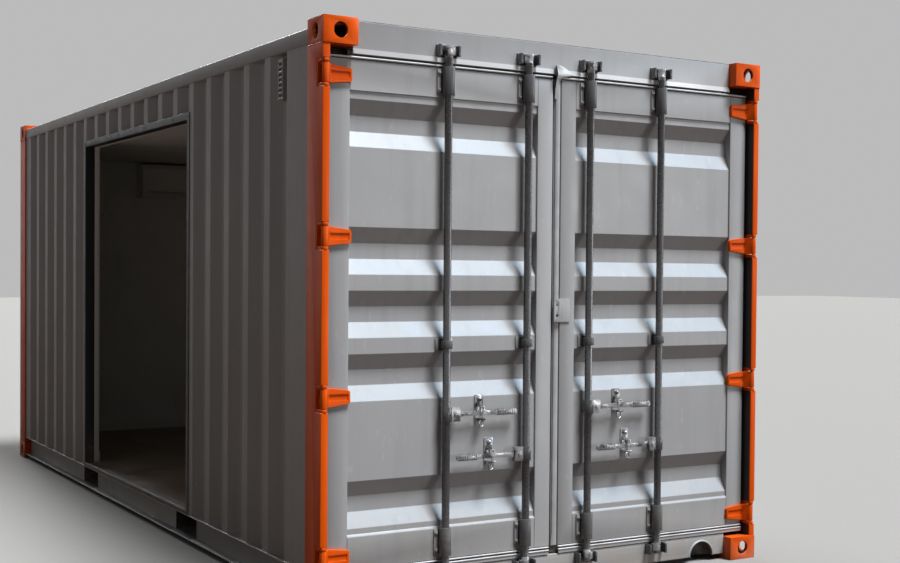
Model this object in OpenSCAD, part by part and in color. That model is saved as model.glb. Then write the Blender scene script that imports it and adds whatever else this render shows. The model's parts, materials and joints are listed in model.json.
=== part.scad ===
// Shipping container cabin: a 20 ft steel container with its cargo doors kept and
// a wide doorway cut in one long side. Millimetres. Door end faces -Y, Z is up.

/* [Overall] */
// Length over the corner castings
length = 6058; // [5900:1:6200]
// Width over the corner castings
width = 2438; // [2400:1:2480]
// Height over the corner castings
height = 2591; // [2560:1:2900]

/* [Corner castings] */
// Casting size along the container
casting_len = 178; // [172:1:182]
// Casting size across the container
casting_wid = 162; // [158:1:166]
// Casting height
casting_hgt = 118; // [114:1:122]
// Wall of the casting at the round apertures
casting_wall = 16; // [12:1:20]
// Wall of the casting at the long aperture
casting_cap = 28; // [22:1:32]
// Width of the long aperture
slot_wid = 64; // [58:1:66]
// Length of the long aperture
slot_len = 124; // [110:1:126]
// Width of the aperture in the end face
eye_wid = 64; // [54:1:68]
// Height of the apertures in the end and side faces
eye_hgt = 70; // [60:1:74]

/* [Corner posts] */
// Plate of the posts
post_plate = 6; // [5:1:8]
// Width of the post nose beside the doors
post_nose = 34; // [32:1:36]
// How far the post nose stands back from the casting face
post_back = 4; // [2:1:6]
// Width of the post behind the door leaves
post_wide = 150; // [140:1:158]
// Depth of the door recess to the post stop face
door_recess = 116; // [114:1:122]

/* [Header and sill] */
// How far header, sill and door faces stand back from the castings
face_back = 58; // [56:1:62]
// Height of the door header
header_hgt = 122; // [116:1:126]
// Gap from the header top to the casting top
header_drop = 3; // [2:1:6]
// Drop of the sloping lip under the header
lip_drop = 24; // [22:1:26]
// Top face of the door sill
sill_top = 136; // [132:1:140]
// Underside of the door sill
sill_low = 28; // [24:1:32]
// Plate of header and sill
beam_plate = 6; // [5:1:8]
// Radius of the arched cut-outs in the sill
arch_rad = 72; // [66:1:76]
// Distance of the arch from the side of the container
arch_in = 314; // [300:1:330]
// Ring standing out round the arch
arch_rim = 8; // [6:1:10]
// How far header and sill of the closed end stand back from the castings
end_back = 12; // [10:1:16]
// Height of the closed end's header
end_head_hgt = 84; // [78:1:90]
// Depth of the closed end's header
end_head_deep = 78; // [72:1:84]
// Gap from the closed end's header to the casting top
end_head_drop = 11; // [8:1:14]
// Height of the closed end's sill
end_sill_hgt = 122; // [118:1:125]
// Depth of the closed end's sill
end_sill_deep = 88; // [80:1:94]

/* [Side rails] */
// Top side rail height
top_rail_hgt = 70; // [60:1:76]
// Top side rail width
top_rail_wid = 60; // [54:1:62]
// Top side rail plate
top_rail_plate = 4; // [3:0.5:5]
// Drop of the top rail below the casting top
top_rail_drop = 35; // [32:1:38]
// How far the side rails stand back from the casting face
rail_back = 6; // [4:1:8]
// Bottom side rail underside
low_rail_z = 28; // [24:1:32]
// Bottom side rail height
low_rail_hgt = 134; // [130:1:136]
// Bottom side rail flange width
low_rail_wid = 48; // [46:1:50]
// Bottom side rail plate
low_rail_plate = 5; // [4:0.5:6]

/* [Corrugated sheets] */
// Sheet thickness of the walls
sheet = 2; // [1.6:0.2:3]
// Pitch of the side wall corrugation
wall_pitch = 282; // [276:1:284]
// Depth of the side wall corrugation
wall_deep = 36; // [32:1:38]
// Flat length from the door post to the first slope
wall_lead = 264; // [258:1:270]
// Length of a sloping part of the side wall sheet
wall_slope = 69; // [66:1:71]
// Flat length in a recess of the side wall sheet
wall_flat = 71; // [68:1:73]
// Pitch of the end wall corrugation
end_pitch = 250; // [240:1:255]
// Depth of the end wall corrugation
end_deep = 44; // [40:1:45]
// Pitch of the roof corrugation
roof_pitch = 209; // [205:1:215]
// Height of the roof corrugation
roof_deep = 20; // [16:1:22]

/* [Cut doorway] */
// Distance of the doorway from the door end
door_y = 1880; // [1840:1:1930]
// Clear width of the doorway
door_wid = 2160; // [2080:1:2200]
// Top of the doorway below the top of the container
door_drop = 294; // [282:1:320]
// Width of the steel frame round the doorway
trim_wid = 40; // [36:1:46]
// Depth of the steel frame round the doorway
trim_deep = 60; // [58:1:64]
// Height of the doorway threshold over the bottom rail
step_hgt = 24; // [20:1:28]

/* [Floor] */
// Floor board thickness
board = 28; // [24:1:28]
// Floor top above the ground
floor_z = 182; // [182:1:184]
// Number of cross members
cross_count = 15; // [13:1:16]
// Cross member flange width
cross_wid = 45; // [40:1:50]
// Cross member plate
cross_plate = 4; // [3.5:0.5:5]
// Fork pocket spacing, centre to centre
fork_gap = 2050; // [2040:1:2080]
// Fork pocket clear width
fork_wid = 360; // [350:1:365]
// Fork pocket plate
fork_plate = 6; // [5:0.5:6]

/* [Lining] */
// Lining panel thickness
lining = 32; // [28:1:36]
// Ceiling below the top of the container
ceiling_drop = 251; // [241:1:261]
// Ceiling panel thickness
ceiling = 40; // [36:1:44]

/* [Air conditioner] */
// Length of the indoor unit
ac_len = 760; // [720:1:820]
// Height of the indoor unit
ac_hgt = 274; // [264:1:280]
// Depth of the indoor unit
ac_deep = 205; // [195:1:215]
// Space between the unit and the ceiling
ac_gap = 16; // [10:1:22]

/* [Door leaves] */
// Thickness of a door leaf
leaf_deep = 46; // [44:1:48]
// Gap from leaf edge to post nose
leaf_side_gap = 15; // [14:1:17]
// Half of the space between the leaf edges at the centre
leaf_mid_gap = 24; // [22:1:26]
// Space between leaf and header
leaf_top_gap = 46; // [44:1:48]
// Space between leaf and sill
leaf_low_gap = 41; // [39:1:43]
// Width of the outer upright of a leaf
stile_out = 100; // [92:1:106]
// Width of the inner upright of a leaf
stile_in = 84; // [78:1:90]
// Height of the top rail of a leaf
leaf_head = 136; // [130:1:140]
// Height of the bottom rail of a leaf
leaf_foot = 143; // [140:1:146]
// Plate of the leaf frame
leaf_plate = 4; // [3:0.5:5]
// How far the panel stands back from the frame face
panel_back = 8; // [6:1:9]
// Depth of the panel recesses
panel_deep = 36; // [33:1:36]
// Slope of a panel recess as a share of the panel pitch
panel_part = 0.25; // [0.24:0.005:0.255]

/* [Hinges] */
// Distance of the hinge pin from the container side
pin_u = 18; // [17.5:0.5:18.5]
// Distance of the hinge pin behind the casting face
pin_v = 18; // [17.5:0.5:18.5]
// Hinge pin radius
pin_rad = 8; // [7:0.5:8]
// Hinge barrel radius
barrel_rad = 14; // [13:0.5:14]
// Height of a hinge blade at the barrel
blade_hgt = 84; // [80:1:86]
// How much a hinge blade narrows to its tip, each side
blade_taper = 13; // [10:1:15]
// Reach of a hinge blade from the pin
blade_len = 138; // [130:1:142]
// Height of a hinge lug
lug_hgt = 14; // [12:1:16]
// Gap between a barrel and a lug
lug_gap = 4; // [3:0.5:5]
// Lowest hinge above the ground
hinge_z = 238; // [236:1:242]
// Drop of the highest hinge below the leaf top
hinge_drop = 73; // [70:1:76]

/* [Locking gear] */
// Distance of the inner lock rods from the centre
rod_in = 175; // [172:1:178]
// Distance of the outer lock rods from the centre
rod_out = 600; // [596:1:606]
// Lock rod radius
rod_rad = 18; // [17:0.5:18]
// Lock rod axis behind the casting face
rod_v = 30; // [29:0.5:30]
// Lock rod end below the top of the container
rod_top_gap = 72; // [70:1:76]
// Lock rod end above the ground
rod_low = 92; // [90:1:94]
// Outer radius of the rod guide tubes
guide_rad = 28; // [26.5:0.5:28]
// Height of the rod guide plates
guide_hgt = 110; // [104:1:114]
// Width of the rod guide plates
guide_wid = 92; // [88:1:96]
// Height of the keepers
keeper_hgt = 56; // [52:1:58]
// Width of the keepers
keeper_wid = 108; // [106:1:112]
// Height from the lower handles to the upper ones
handle_gap = 203; // [196:1:210]
// Handle reach from the rod axis
handle_len = 372; // [360:1:380]
// Height of the handle's grip
bar_hgt = 28; // [26:1:30]
// Height of the handle's neck
neck_hgt = 20; // [16:1:22]
// Distance of the grip from the rod axis
grip_x = 262; // [250:1:280]
// Handle bar thickness
bar_thk = 10; // [8:1:10]
// Distance of the handle retainer from the rod axis
retainer_x = 186; // [180:1:192]

/* [Hidden] */
$fn = 48;
W = width / 2;
Y0 = -length / 2;
Y1 = length / 2;
YI0 = Y0 + casting_len;
YI1 = Y1 - casting_len;
HB = height - header_drop - header_hgt;
HT = height - header_drop;
LB = sill_top + leaf_low_gap;
LT = HB - leaf_top_gap;
PW = W - post_nose - leaf_side_gap;
F0 = Y0 + face_back;
F1 = F0 + leaf_deep;
WB = LB + leaf_foot;
WT = LT - leaf_head;
panel_pitch = (WT - WB) / 7;
RECESS = [0, 2, 3, 4, 6];
panel_top = panel_pitch / 8;
panel_slope = panel_part * panel_pitch;
panel_flat = panel_pitch / 4;
TR1 = height - top_rail_drop;
TR0 = TR1 - top_rail_hgt;
LR1 = low_rail_z + low_rail_hgt;
web_x = W - rail_back - low_rail_wid;
SU = rail_back + 4;
board_z = floor_z - board;
D0 = Y0 + door_y;
D1 = D0 + door_wid;
door_top = height - door_drop;
ceiling_z = height - ceiling_drop;
wall_fold = 2 * wall_slope + wall_flat;
wall_room = YI1 - YI0 - wall_lead - wall_fold - 0.6 * wall_slope;
wall_count = 1 + floor(wall_room / wall_pitch);
LU = rail_back + trim_deep;
LI = LU + lining;
EV = 4;
hinge_step = (LT - hinge_drop - hinge_z) / 3;
HINGES = [for (i = [0:3]) hinge_z + i * hinge_step];
mid_z = WT - panel_top - 4 * panel_pitch + panel_slope / 2;
PX = W - pin_u;
PY = Y0 + pin_v;
RY = Y0 + rod_v;
PF = F0 + panel_back;
hub_x = 42;
handle_mid = WB + 1.5 * panel_pitch;
handle_hi = handle_mid + handle_gap / 2;
handle_lo = handle_mid - handle_gap / 2;
EB = Y1 - end_back;
ET1 = height - end_head_drop;
ET0 = ET1 - end_head_hgt;
ES1 = sill_low + end_sill_hgt;
lug_v = 1.07 * face_back;
back_v = 1.2 * face_back;
lug_end = blade_hgt / 2 + lug_gap + lug_hgt;
GREY = [0.56, 0.57, 0.58];
ORANGE = [0.85, 0.32, 0.08];
ZINC = [0.72, 0.73, 0.74];
BLACK = [0.12, 0.12, 0.13];
WHITE = [0.9, 0.89, 0.85];
WOOD = [0.42, 0.3, 0.2];
STEEL = [0.25, 0.25, 0.26];

// box from one corner to the other
module bx(a, b) {
  translate(a) cube([b[0] - a[0], b[1] - a[1], b[2] - a[2]]);
}

// polygon of (y, z) points drawn out along x
module along_x(x0, x1, pts) {
  translate([x0, 0, 0]) rotate([90, 0, 90]) linear_extrude(x1 - x0) polygon(pts);
}

// polygon of (x, y) points drawn upward
module along_z(z0, z1, pts) {
  translate([0, 0, z0]) linear_extrude(z1 - z0) polygon(pts);
}

module both_sides() {
  children();
  mirror([1, 0, 0]) children();
}

module both_ends() {
  children();
  mirror([0, 1, 0]) children();
}

// upright round bar
module rod(x, y, z0, z1, r) {
  translate([x, y, z0]) cylinder(h = z1 - z0, r = r);
}

// hole with round ends, drawn along z
module oblong(len, wid, h) {
  cube([len - wid, wid, h], center = true);
  translate([-(len - wid) / 2, 0, 0]) cylinder(h = h, d = wid, center = true);
  translate([(len - wid) / 2, 0, 0]) cylinder(h = h, d = wid, center = true);
}

// one casting at the corner (-W, Y0), long aperture on top or below
module casting(top) {
  cz = casting_hgt / 2;
  difference() {
    cube([casting_wid, casting_len, casting_hgt]);
    translate([casting_wall, casting_wall, top ? casting_wall : casting_cap])
      cube([casting_wid - 2 * casting_wall, casting_len - 2 * casting_wall,
            casting_hgt - casting_wall - casting_cap]);
    translate([casting_wid / 2 + 4, casting_len / 2, top ? casting_hgt : 0])
      rotate([0, 0, 90]) oblong(slot_len, slot_wid, 3 * casting_cap);
    translate([casting_wid / 2, 0, cz])
      rotate([90, 0, 0]) rotate([0, 0, 90]) oblong(eye_hgt, eye_wid, 3 * casting_wall);
    translate([0, casting_len / 2, cz])
      rotate([0, 90, 0]) oblong(eye_hgt, eye_wid - 6, 3 * casting_wall);
  }
}

module castings(z, top) {
  both_ends() both_sides() translate([-W, Y0, z]) casting(top);
}

module corner_castings_top() {
  color(ORANGE) castings(height - casting_hgt, true);
}

module corner_castings_bottom() {
  color(ORANGE) castings(0, false);
}

// folded post beside a door leaf, with a notch at each hinge
module door_post() {
  p = post_plate;
  z0 = casting_hgt;
  z1 = height - casting_hgt;
  x = -W;
  y = Y0;
  difference() {
    along_z(z0, z1, [
      [x, y + post_back], [x + post_nose, y + post_back], [x + post_nose, y + door_recess],
      [x + post_wide, y + door_recess], [x + post_wide, y + casting_len], [x, y + casting_len]]);
    along_z(z0 + p, z1 - p, [
      [x + p, y + post_back + p], [x + post_nose - p, y + post_back + p],
      [x + post_nose - p, y + door_recess + p], [x + post_wide - p, y + door_recess + p],
      [x + post_wide - p, y + casting_len - p], [x + p, y + casting_len - p]]);
    for (h = HINGES)
      bx([x - 1, y - 1, h - lug_end - 0.3], [x + post_nose + 1, y + back_v + 0.3, h + lug_end + 0.3]);
  }
}

module door_post_left() {
  color(ORANGE) door_post();
}

module door_post_right() {
  color(ORANGE) mirror([1, 0, 0]) door_post();
}

module end_posts() {
  p = post_plate;
  color(ORANGE) both_sides() difference() {
    bx([-W, YI1, casting_hgt], [-W + casting_wid, Y1 - post_back, height - casting_hgt]);
    bx([-W + p, YI1 + p, casting_hgt + p],
       [-W + casting_wid - p, Y1 - post_back - p, height - casting_hgt - p]);
  }
}

module door_header() {
  p = beam_plate;
  x = W - casting_wid;
  color(GREY) {
    difference() {
      bx([-x, F0, HB], [x, YI0, HT]);
      bx([-x + p, F0 + p, HB + p], [x - p, YI0 - p, HT - p]);
    }
    bx([-x, Y0 + door_recess, HB - 36], [x, Y0 + door_recess + p, HB]);
    along_x(-x, x, [
      [F0 + 4, HB + 2], [F0, HB + 2], [F0 - 8, HB - lip_drop + 3], [F0 - 8, HB - lip_drop],
      [F0 + 10, HB - lip_drop], [F0 + 10, HB], [F0 + 4, HB]]);
  }
}

// x, z position of the sill arches
module arches(r, y0, y1) {
  both_sides() translate([W - arch_in, y1, sill_low + 4])
    rotate([90, 0, 0]) cylinder(h = y1 - y0, r = r);
}

module door_sill() {
  p = beam_plate;
  x = W - casting_wid;
  color(GREY) {
    difference() {
      union() {
        difference() {
          bx([-x, F0, sill_low], [x, YI0, sill_top]);
          bx([-x + p, F0 + p, sill_low + p], [x - p, YI0 - p, sill_top - p]);
          arches(arch_rad, F0 - 1, F0 + 40);
        }
        difference() {
          arches(arch_rad + arch_rim, F0 - 6, F0 + 46);
          bx([-W, F0 - 7, -200], [W, F0 + 60, sill_low]);
        }
      }
      arches(arch_rad, F0 - 8, F0 + 38);
    }
    bx([-x, Y0 + door_recess, sill_top], [x, Y0 + door_recess + p, sill_top + 30]);
  }
}

module end_header() {
  p = beam_plate;
  x = W - casting_wid;
  color(GREY) difference() {
    bx([-x, EB - end_head_deep, ET0], [x, EB, ET1]);
    bx([-x + p, EB - end_head_deep + p, ET0 + p], [x - p, EB - p, ET1 - p]);
  }
}

module end_sill() {
  p = beam_plate;
  x = W - casting_wid;
  color(GREY) difference() {
    bx([-x, EB - end_sill_deep, sill_low], [x, EB, ES1]);
    bx([-x + p, EB - end_sill_deep + p, sill_low + p], [x - p, EB - p, ES1 - p]);
  }
}

module top_rail() {
  t = top_rail_plate;
  x = -W + rail_back;
  color(GREY) difference() {
    bx([x, YI0, TR0], [x + top_rail_wid, YI1, TR1]);
    bx([x + t, YI0 + t, TR0 + t], [x + top_rail_wid - t, YI1 - t, TR1 - t]);
  }
}

module top_rail_left() {
  top_rail();
}

module top_rail_right() {
  mirror([1, 0, 0]) top_rail();
}

FA = fork_gap / 2 - fork_wid / 2;
FB = fork_gap / 2 + fork_wid / 2;

// outward-facing channel in three lengths, with an angle above and below each fork pocket
module bottom_rail() {
  t = low_rail_plate;
  x = -W + rail_back;
  c = 0.15;
  color(GREY) {
    for (k = [[YI0, -FB - c], [-FA + c, FA - c], [FB + c, YI1]]) difference() {
      bx([x, k[0], low_rail_z], [-web_x, k[1], LR1]);
      bx([x - 1, k[0] - 1, low_rail_z + t], [-web_x - t, k[1] + 1, LR1 - t]);
    }
    for (k = [[-FB, -FA], [FA, FB]]) {
      difference() {
        bx([x, k[0], board_z - fork_plate], [-web_x, k[1], LR1]);
        bx([x - 1, k[0] - 1, board_z - fork_plate - 1], [-web_x - t, k[1] + 1, LR1 - t]);
      }
      bx([x, k[0], low_rail_z], [-web_x, k[1], low_rail_z + t]);
    }
  }
}

module bottom_rail_left() {
  bottom_rail();
}

module bottom_rail_right() {
  mirror([1, 0, 0]) bottom_rail();
}

// folded line of a corrugated sheet: n recesses from a, then on to b
function folds(a, b, n, lead, pitch, slope, flat, deep) = concat(
  [[a, 0]],
  [for (i = [0:n - 1]) for (k = [0:3])
    [a + lead + i * pitch + [0, slope, slope + flat, 2 * slope + flat][k], [0, deep, deep, 0][k]]],
  [[b, 0]]);

function back(l) = [for (i = [len(l) - 1:-1:0]) l[i]];

WALL = folds(YI0, YI1, wall_count, wall_lead, wall_pitch, wall_slope, wall_flat, wall_deep);

module side_sheet() {
  along_z(LR1, TR0, concat(
    [for (q = WALL) [-W + SU + q[1], q[0]]],
    [for (q = back(WALL)) [-W + SU + sheet + q[1], q[0]]]));
}

module left_wall_door_side() {
  color(GREY) intersection() {
    side_sheet();
    bx([-W, YI0, 0], [-W + casting_wid, D0 - trim_wid, height]);
  }
}

module left_wall_end_side() {
  color(GREY) intersection() {
    side_sheet();
    bx([-W, D1 + trim_wid, 0], [-W + casting_wid, YI1, height]);
  }
}

module left_wall_over_doorway() {
  color(GREY) intersection() {
    side_sheet();
    bx([-W, D0 - trim_wid, door_top + trim_wid],
       [-W + casting_wid, D1 + trim_wid, height]);
  }
}

module right_wall() {
  color(GREY) mirror([1, 0, 0]) side_sheet();
}

ENDX = W - casting_wid;
END_N = floor(2 * ENDX / end_pitch - 0.24);
END_LEAD = (2 * ENDX - (END_N - 0.2) * end_pitch) / 2;
ENDL = folds(-ENDX, ENDX, END_N, END_LEAD, end_pitch, 0.25 * end_pitch, 0.3 * end_pitch, end_deep);

module end_wall() {
  y = EB - beam_plate;
  color(GREY) along_z(ES1, ET0, concat(
    [for (q = ENDL) [q[0], y - q[1]]],
    [for (q = back(ENDL)) [q[0], y - sheet - q[1]]]));
}

ROOF_N = floor((YI1 - YI0) / roof_pitch - 0.29);
ROOF_LEAD = (YI1 - YI0 - (ROOF_N - 0.29) * roof_pitch) / 2;
ROOFL = folds(YI0, YI1, ROOF_N, ROOF_LEAD, roof_pitch, 0.145 * roof_pitch, 0.42 * roof_pitch,
              roof_deep);

module roof() {
  x = W - rail_back - 8;
  color(GREY) {
    along_x(-x, x, concat(
      [for (q = ROOFL) [q[0], TR1 + q[1]]],
      [for (q = back(ROOFL)) [q[0], TR1 + sheet + q[1]]]));
    both_sides() along_x(x - 3, x, concat(
      [for (q = ROOFL) [q[0], TR1 + sheet / 2 + q[1]]], [[YI1, TR1], [YI0, TR1]]));
    bx([-ENDX, YI1, TR1], [ENDX, EB - end_head_deep, TR1 + sheet]);
  }
}

module floor_boards() {
  x = web_x - 1;
  e = ENDX - 1;
  n = 5;
  s = (YI1 - YI0) / n;
  color(WOOD) {
    for (i = [0:n - 1]) for (k = [0, 1])
      bx([k == 0 ? -x : 0.4, YI0 + i * s, board_z],
         [k == 0 ? -0.4 : x, YI0 + (i + 1) * s - 0.8, floor_z]);
    bx([-e, Y0 + door_recess + beam_plate + 0.5, board_z], [e, YI0 - 0.5, floor_z]);
    bx([-e, YI1 - 0.3, board_z], [e, EB - end_sill_deep - 0.5, floor_z]);
  }
}

// channel running across under the floor
module cross_member(y) {
  t = cross_plate;
  z0 = low_rail_z + 4;
  difference() {
    bx([-web_x, y, z0], [web_x, y + cross_wid, board_z]);
    bx([-web_x - 1, y + t, z0 + t], [web_x + 1, y + cross_wid + 1, board_z - t]);
  }
}

CROSS = [for (i = [0:cross_count - 1]) YI0 + 30 + i * (YI1 - YI0 - 120) / (cross_count - 1)];

function at_fork(y) = min([for (s = [-1, 1]) abs(y + cross_wid / 2 - s * fork_gap / 2)])
  < fork_wid / 2 + fork_plate + cross_wid / 2 + 6;

module cross_members() {
  color(STEEL) for (y = CROSS) if (!at_fork(y)) cross_member(y);
}

// two plates across and two upright ones for each pocket
module fork_pockets() {
  t = fork_plate;
  z0 = low_rail_z + low_rail_plate - t;
  z1 = board_z - t;
  color(STEEL) both_ends() {
    bx([-web_x, FA - t, z0], [web_x, FB + t, z0 + t]);
    bx([-web_x, FA - t, z1], [web_x, FB + t, board_z]);
    for (y = [FA - t, FB])
      bx([-web_x, y, z0 + t + 0.2], [web_x, y + t, z1 - 0.2]);
  }
}

module left_lining() {
  color(WHITE) difference() {
    bx([-W + LU, YI0 + 2, floor_z], [-W + LI, YI1 - EV, ceiling_z]);
    bx([-W, D0, 0], [-W + 200, D1, door_top]);
  }
}

module right_lining() {
  color(WHITE) bx([W - LI, YI0 + 2, floor_z], [W - LU, YI1 - EV, ceiling_z]);
}

module end_lining() {
  color(WHITE) bx([-W + LI, YI1 - EV - lining, floor_z], [W - LI, YI1 - EV, ceiling_z]);
}

module ceiling_panel() {
  color(WHITE) bx([-W + LU, YI0 + 2, ceiling_z], [W - LU, YI1 - EV, ceiling_z + ceiling]);
}

module doorway_frame() {
  x0 = -W + rail_back;
  x1 = x0 + trim_deep;
  color(STEEL) difference() {
    bx([x0, D0 - trim_wid, LR1], [x1, D1 + trim_wid, door_top + trim_wid]);
    bx([x0 - 1, D0, LR1 + step_hgt], [x1 + 1, D1, door_top]);
    bx([-web_x + 0.7, D0 - trim_wid - 1, LR1 - 1], [x1 + 1, D1 + trim_wid + 1, floor_z + 0.3]);
  }
}

module air_conditioner() {
  y = YI1 - EV - lining;
  d = ac_deep;
  h = ac_hgt;
  z = ceiling_z - ac_gap - ac_hgt;
  color(WHITE) {
    difference() {
      along_x(-ac_len / 2, ac_len / 2, [
        [y, z + 12], [y - d * 0.45, z], [y - d * 0.8, z + 12], [y - d * 0.96, z + h * 0.24],
        [y - d, z + h * 0.5], [y - d * 0.97, z + h * 0.86], [y - d * 0.84, z + h - 3],
        [y - d * 0.7, z + h], [y, z + h]]);
      along_x(-ac_len / 2 + 60, ac_len / 2 - 60, [
        [y - d * 0.5, z - 5], [y - d * 1.1, z + h * 0.04], [y - d * 1.1, z + h * 0.2],
        [y - d * 0.62, z + h * 0.2]]);
    }
    for (k = [0, 1])
      along_x(-ac_len / 2 + 59, ac_len / 2 - 59, [
        [y - d * (0.66 + 0.1 * k), z + h * (0.07 + 0.05 * k)],
        [y - d * (0.8 + 0.08 * k), z + h * (0.1 + 0.04 * k)],
        [y - d * (0.8 + 0.08 * k), z + h * (0.12 + 0.04 * k)],
        [y - d * (0.66 + 0.1 * k), z + h * (0.09 + 0.05 * k)]]);
  }
}

module ventilators() {
  y = YI0 + wall_lead + wall_slope + wall_flat / 2;
  x = -W + SU + wall_deep;
  z = TR0 - 210;
  color(GREY) both_sides() {
    difference() {
      bx([x - 28, y - 29, z], [x, y + 29, z + 190]);
      for (k = [0:6])
        bx([x - 29, y - 22, z + 14 + k * 24], [x - 16, y + 22, z + 28 + k * 24]);
    }
  }
}

RODS = [-rod_out, -rod_in, rod_in, rod_out];

module cam_keepers() {
  e = 12;
  g = keeper_wid / 2;
  color(ZINC) for (x = RODS) for (z = [HB + 3, sill_top - 2 - keeper_hgt]) {
    bx([x - g, F0 - 4, z], [x + g, F0, z + keeper_hgt]);
    for (s = [-1, 1])
      translate([x + s * (g - e / 2) - e / 2, F0 - 4 - 0.3 - 40, z + 3])
        cube([e, 40, keeper_hgt - 6]);
  }
}

// two lugs, their pin and the plate behind them, for one side
module lugs() {
  for (h = HINGES) {
    for (z = [h - lug_end, h + lug_end - lug_hgt])
      difference() {
        union() {
          bx([-W + post_back / 2, PY, z], [-W + post_nose, Y0 + lug_v, z + lug_hgt]);
          rod(-PX, PY, z, z + lug_hgt, barrel_rad + 2);
        }
        rod(-PX, PY, z - 1, z + lug_hgt + 1, pin_rad + 0.3);
      }
    bx([-W + post_back / 4, Y0 + lug_v + 0.3, h - lug_end],
       [-W + post_nose - 1, Y0 + back_v, h + lug_end]);
    rod(-PX, PY, h - lug_end, h + lug_end, pin_rad);
  }
}

module hinge_lugs() {
  color(ORANGE) both_sides() lugs();
}

// the left leaf's parts; the right leaf's are their mirror
module leaf_frame() {
  t = leaf_plate;
  a = -PW;
  b = -leaf_mid_gap;
  wa = a + stile_out;
  wb = b - stile_in;
  difference() {
    bx([a, F0, LB], [b, F1, LT]);
    bx([wa, F0 - 1, WB], [wb, F1 + 1, WT]);
    difference() {
      bx([a + t, F0 + t, LB + t], [b - t, F1 - t, LT - t]);
      bx([wa - t, F0 - 1, WB - t], [wb + t, F1 + 1, WT + t]);
    }
  }
  along_x(wa, wb, [[F0, WB], [PF, WB], [PF, WB + 12]]);
}

function pleats(z) = [z, z - panel_slope, z - panel_slope - panel_flat,
                      z - 2 * panel_slope - panel_flat];

PANEL = concat([[0, WT]],
  [for (r = RECESS) for (k = [0:3])
    [[0, panel_deep, panel_deep, 0][k], pleats(WT - panel_top - r * panel_pitch)[k]]],
  [[0, WB]]);

module leaf_panel() {
  along_x(-PW + stile_out, -leaf_mid_gap - stile_in, concat(
    [for (q = PANEL) [PF + q[0], q[1]]],
    [for (q = back(PANEL)) [PF + sheet + q[0], q[1]]]));
}

module leaf_gasket() {
  a = -PW;
  b = -leaf_mid_gap;
  gt = LT + leaf_top_gap - lip_drop - 6;
  gb = LB - leaf_low_gap + 6;
  bx([a, F0 + 14, LT], [b, F0 + 34, gt]);
  along_x(a, b, [[F0 + 2, gt - 9], [F0 + 6, gt - 4], [F0 + 15, gt - 2], [F0 + 15, gt - 9]]);
  bx([a, F0 + 14, gb], [b, F0 + 34, LB]);
  for (z = [LB - 3, LB - 16])
    along_x(a, b, [[F0 - 2, z - 5], [F0 + 1, z - 2], [F0 + 15, z + 1], [F0 + 15, z - 6]]);
  bx([a - 9, F0 + 14, LB], [a, F0 + 30, LT]);
  bx([a - 6, F0 + 6, LB], [a, F0 + 15, LT]);
}

// barrel and arm of one hinge blade, plan points round the pin
module leaf_blades() {
  x = -PX;
  y = PY;
  r = blade_hgt / 2;
  tip = r - blade_taper;
  for (h = HINGES) translate([0, 0, h]) difference() {
    union() {
      rod(x, y, -r, r, barrel_rad);
      intersection() {
        translate([0, 0, -r]) linear_extrude(blade_hgt) polygon([
          [x, y - 12], [x + 9, y - 11], [x + 38, F0 - 14], [x + blade_len - 4, F0 - 14],
          [x + blade_len, F0 - 9], [x + blade_len, F0], [x + 34, F0], [x + 12, y + 12],
          [x, y + 12]]);
        translate([0, F0 + 1, 0]) rotate([90, 0, 0]) linear_extrude(face_back) polygon([
          [x - 20, -r], [x + 26, -r], [x + 66, -r + 5], [x + blade_len - 8, -tip],
          [x + blade_len + 1, -tip + 8], [x + blade_len + 1, tip - 8],
          [x + blade_len - 8, tip], [x + 66, r - 5], [x + 26, r], [x - 20, r]]);
      }
    }
    translate([0, 0, -tip + 15]) linear_extrude(2 * tip - 30) polygon([
      [x + 10, y - 30], [x + 18, y - 4], [x + 40, F0 - 9], [x + blade_len - 14, F0 - 9],
      [x + blade_len - 8, F0 - 20]]);
    rod(x, y, -r - 1, r + 1, pin_rad + 1);
  }
}

// guides of one lock rod: tube, plate and four bolts above and below, bearing between
module rod_guide(x) {
  for (z = [LT - 6 - guide_hgt, WB - 2 - guide_hgt]) difference() {
    union() {
      bx([x - guide_wid / 2, F0 - 8, z], [x + guide_wid / 2, F0, z + guide_hgt]);
      rod(x, RY, z - 9, z + guide_hgt + 9, guide_rad);
      for (s = [-1, 1]) for (k = [0, 1])
        translate([x + s * (guide_wid / 2 - 9), F0 - 8, z + 16 + k * (guide_hgt - 32)])
          rotate([90, 0, 0]) cylinder(h = 7, r = 7, $fn = 6);
    }
    rod(x, RY, z - 20, z + guide_hgt + 20, rod_rad + 1.5);
  }
  difference() {
    union() {
      bx([x - 43, PF - 6, mid_z - 27], [x + 43, PF, mid_z + 27]);
      bx([x - 16, RY, mid_z - 18], [x + 16, PF - 4, mid_z + 18]);
      rod(x, RY, mid_z - 18, mid_z + 18, guide_rad - 2);
    }
    rod(x, RY, mid_z - 30, mid_z + 30, rod_rad + 0.6);
  }
}

// retainer of one handle; s points from the rod along the handle
module retainer(x, z, s) {
  c = x + s * retainer_x;
  bx([c - 22, PF - 5, z - 40], [c + 22, PF, z + 80]);
  translate([c, 0, 0]) along_x(-17, 17, [
    [PF - 5.3, z - 24], [RY - 13, z - 24], [RY - 13, z - 30], [RY + 6, z - 38],
    [PF - 5.3, z - 40]]);
  translate([c, PF - 4, z + 62]) rotate([90, 0, 0]) cylinder(h = 13, r = 9);
  translate([c, PF - 15, z + 62]) sphere(r = 10);
  bx([c - 15, PF - 15, z + 26], [c + 15, PF - 5.3, z + 48]);
  translate([c - 6, RY - 5, z - 30.2 - 19]) rotate([90, 0, 20])
    rotate_extrude() translate([15, 0]) circle(r = 3.2, $fn = 24);
}

module left_leaf_frame() {
  color(GREY) leaf_frame();
}

module right_leaf_frame() {
  color(GREY) mirror([1, 0, 0]) leaf_frame();
}

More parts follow.
